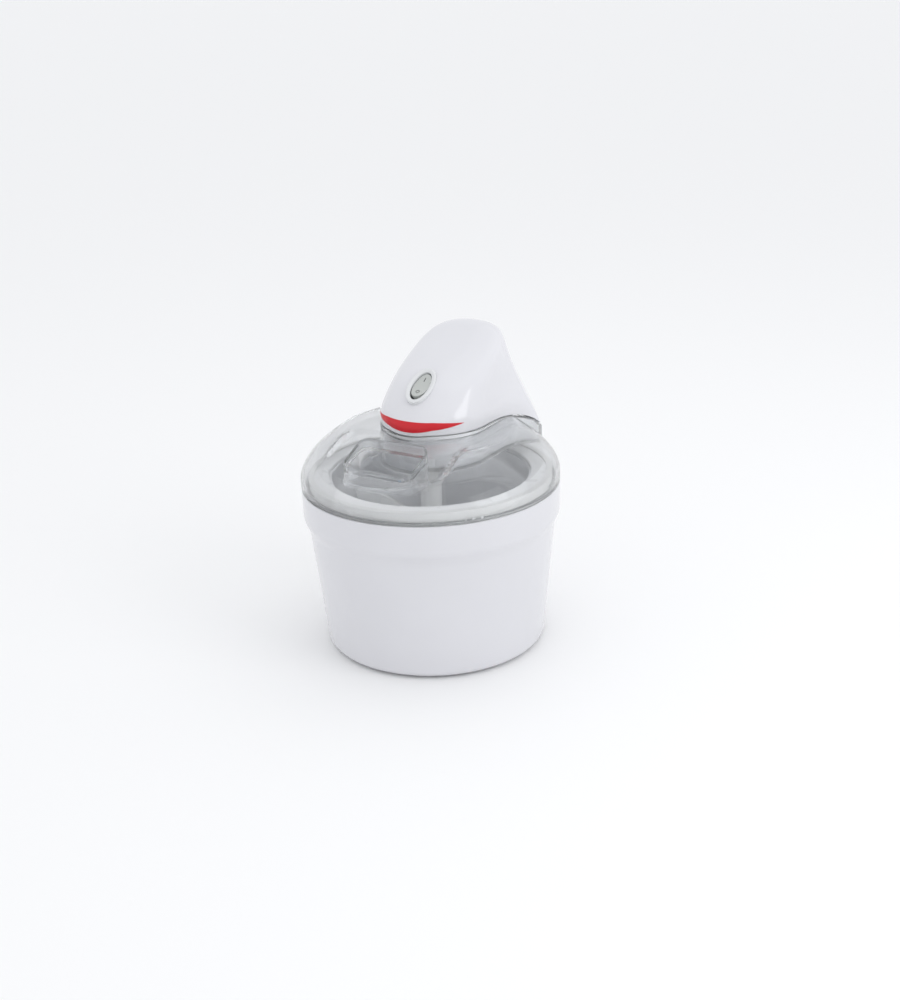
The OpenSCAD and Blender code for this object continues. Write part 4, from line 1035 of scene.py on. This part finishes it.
well_r, post_r, well_top, post_top = 3.1, 4.0, 190.5, 200.0
post_low, well_low = tray_z + 0.4, tray_z - 1
for place in screw_places:
    post = turned("post", [(0, post_low), (post_r, post_low), (post_r, post_top), (0, post_top)], place, 40)
    tray = joined(tray, post, "UNION")
    well = turned("well", [(0, well_low), (well_r, well_low), (well_r, well_top), (0, well_top)], place, 40)
    tray = joined(tray, well, "DIFFERENCE")
tray.data.materials.append(moulded("tray_white", (0.84, 0.84, 0.85), 0.3, grain_mm=6, depth_mm=0.008))
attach(tray, "motor_unit")
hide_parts("motor_tray")

# ---------- Screws ----------
# Zinc-plated pan-head screws: four hold the cover to the tray, four the gearbox, two the motor
# and two the cord saddle.

zinc = spun_metal("zinc_plate", (0.55, 0.56, 0.56), 0.34, 0.25)
for node in ("cover_screws", "gearbox_screws", "motor_screws", "clamp_screws"):
    dressed(node, zinc)

# ---------- Drive ----------
# A direct-current motor in a steel can turns a brass pinion. In a plastic box, an acetal idler
# with two rows of teeth and an output gear slow it down tenfold, and a steel socket takes the paddle.

box_grey = moulded("gearbox_grey", (0.7, 0.7, 0.68), 0.5, grain_mm=1.0, depth_mm=0.02, shade=0.03)
gear_acetal = moulded("gear_acetal", (0.8, 0.78, 0.72), 0.4, grain_mm=2.0, depth_mm=0.01, shade=0.03)
can_steel = spun_metal("can_steel", (0.58, 0.59, 0.6), 0.32, 0.4)
bronze = spun_metal("sintered_bronze", (0.42, 0.25, 0.11), 0.5, 0.5)
copper = spun_metal("enamelled_copper", (0.6, 0.24, 0.08), 0.3, 0.6)
ferrite = moulded("ferrite", (0.04, 0.04, 0.043), 0.6, grain_mm=0.5, depth_mm=0.02, shade=0.15)
drive_finishes = {
    "gearbox_tray": box_grey, "gearbox_lid": box_grey, "idler_gear": gear_acetal, "output_gear": gear_acetal,
    "motor_can": can_steel, "output_bushes": bronze, "motor_bushes": bronze, "stator_coil": copper,
    "rotor_magnet": ferrite, "motor_pinion": brass, "rotor_shaft": pin_steel, "idler_axle": pin_steel,
    "drive_socket": pin_steel,
}
for node, finish in drive_finishes.items():
    dressed(node, finish)

# ---------- Lock marks ----------
# Three small generic signs moulded on the lid's band, a bar, an arrow and a dot, which show how
# far to turn the lid.

lock_grey = moulded("lock_mark", (0.62, 0.63, 0.64), 0.35, grain_mm=0.6, depth_mm=0.004)
mark_z = lid_z - 4.0
mark_angle = -41.0


def band_mark(name, flat_outline, angle):
    """A thin raised sign on the lid's band from an outline of (along, up) points."""
    loops = []
    for proud in (-0.3, 0.12, 0.16):
        shrink = 0.06 if proud > 0.13 else 0.0
        line = []
        for u, v in flat_outline:
            size = max(math.hypot(u, v), 1e-6)
            u, v = u * (1 - shrink / size), v * (1 - shrink / size)
            a = math.radians(angle) + u / lid_r
            line.append(((lid_r + proud) * math.cos(a), (lid_r + proud) * math.sin(a), mark_z + v))
        loops.append(line)
    mark = stacked(name, loops, "capped")
    mark.data.set_sharp_from_angle(angle=math.radians(40))
    mark.data.materials.append(lock_grey)
    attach(mark, "lid")


mark_apart, dot_r = 3.5, 1.3
bar_outline = rounded([(-0.4, -1.8, 0.3), (0.4, -1.8, 0.3), (0.4, 1.8, 0.3), (-0.4, 1.8, 0.3)], steps=4)
arrow_outline = rounded([(-1.6, -1.4, 0.3), (1.7, 0, 0.3), (-1.6, 1.4, 0.3)], steps=4)
dot_angles = [2 * math.pi * k / 32 for k in range(32)]
dot_outline = [(dot_r * math.cos(a), dot_r * math.sin(a)) for a in dot_angles]
band_mark("lock_bar", bar_outline, mark_angle - mark_apart)
band_mark("lock_arrow", arrow_outline, mark_angle)
band_mark("open_dot", dot_outline, mark_angle + mark_apart)
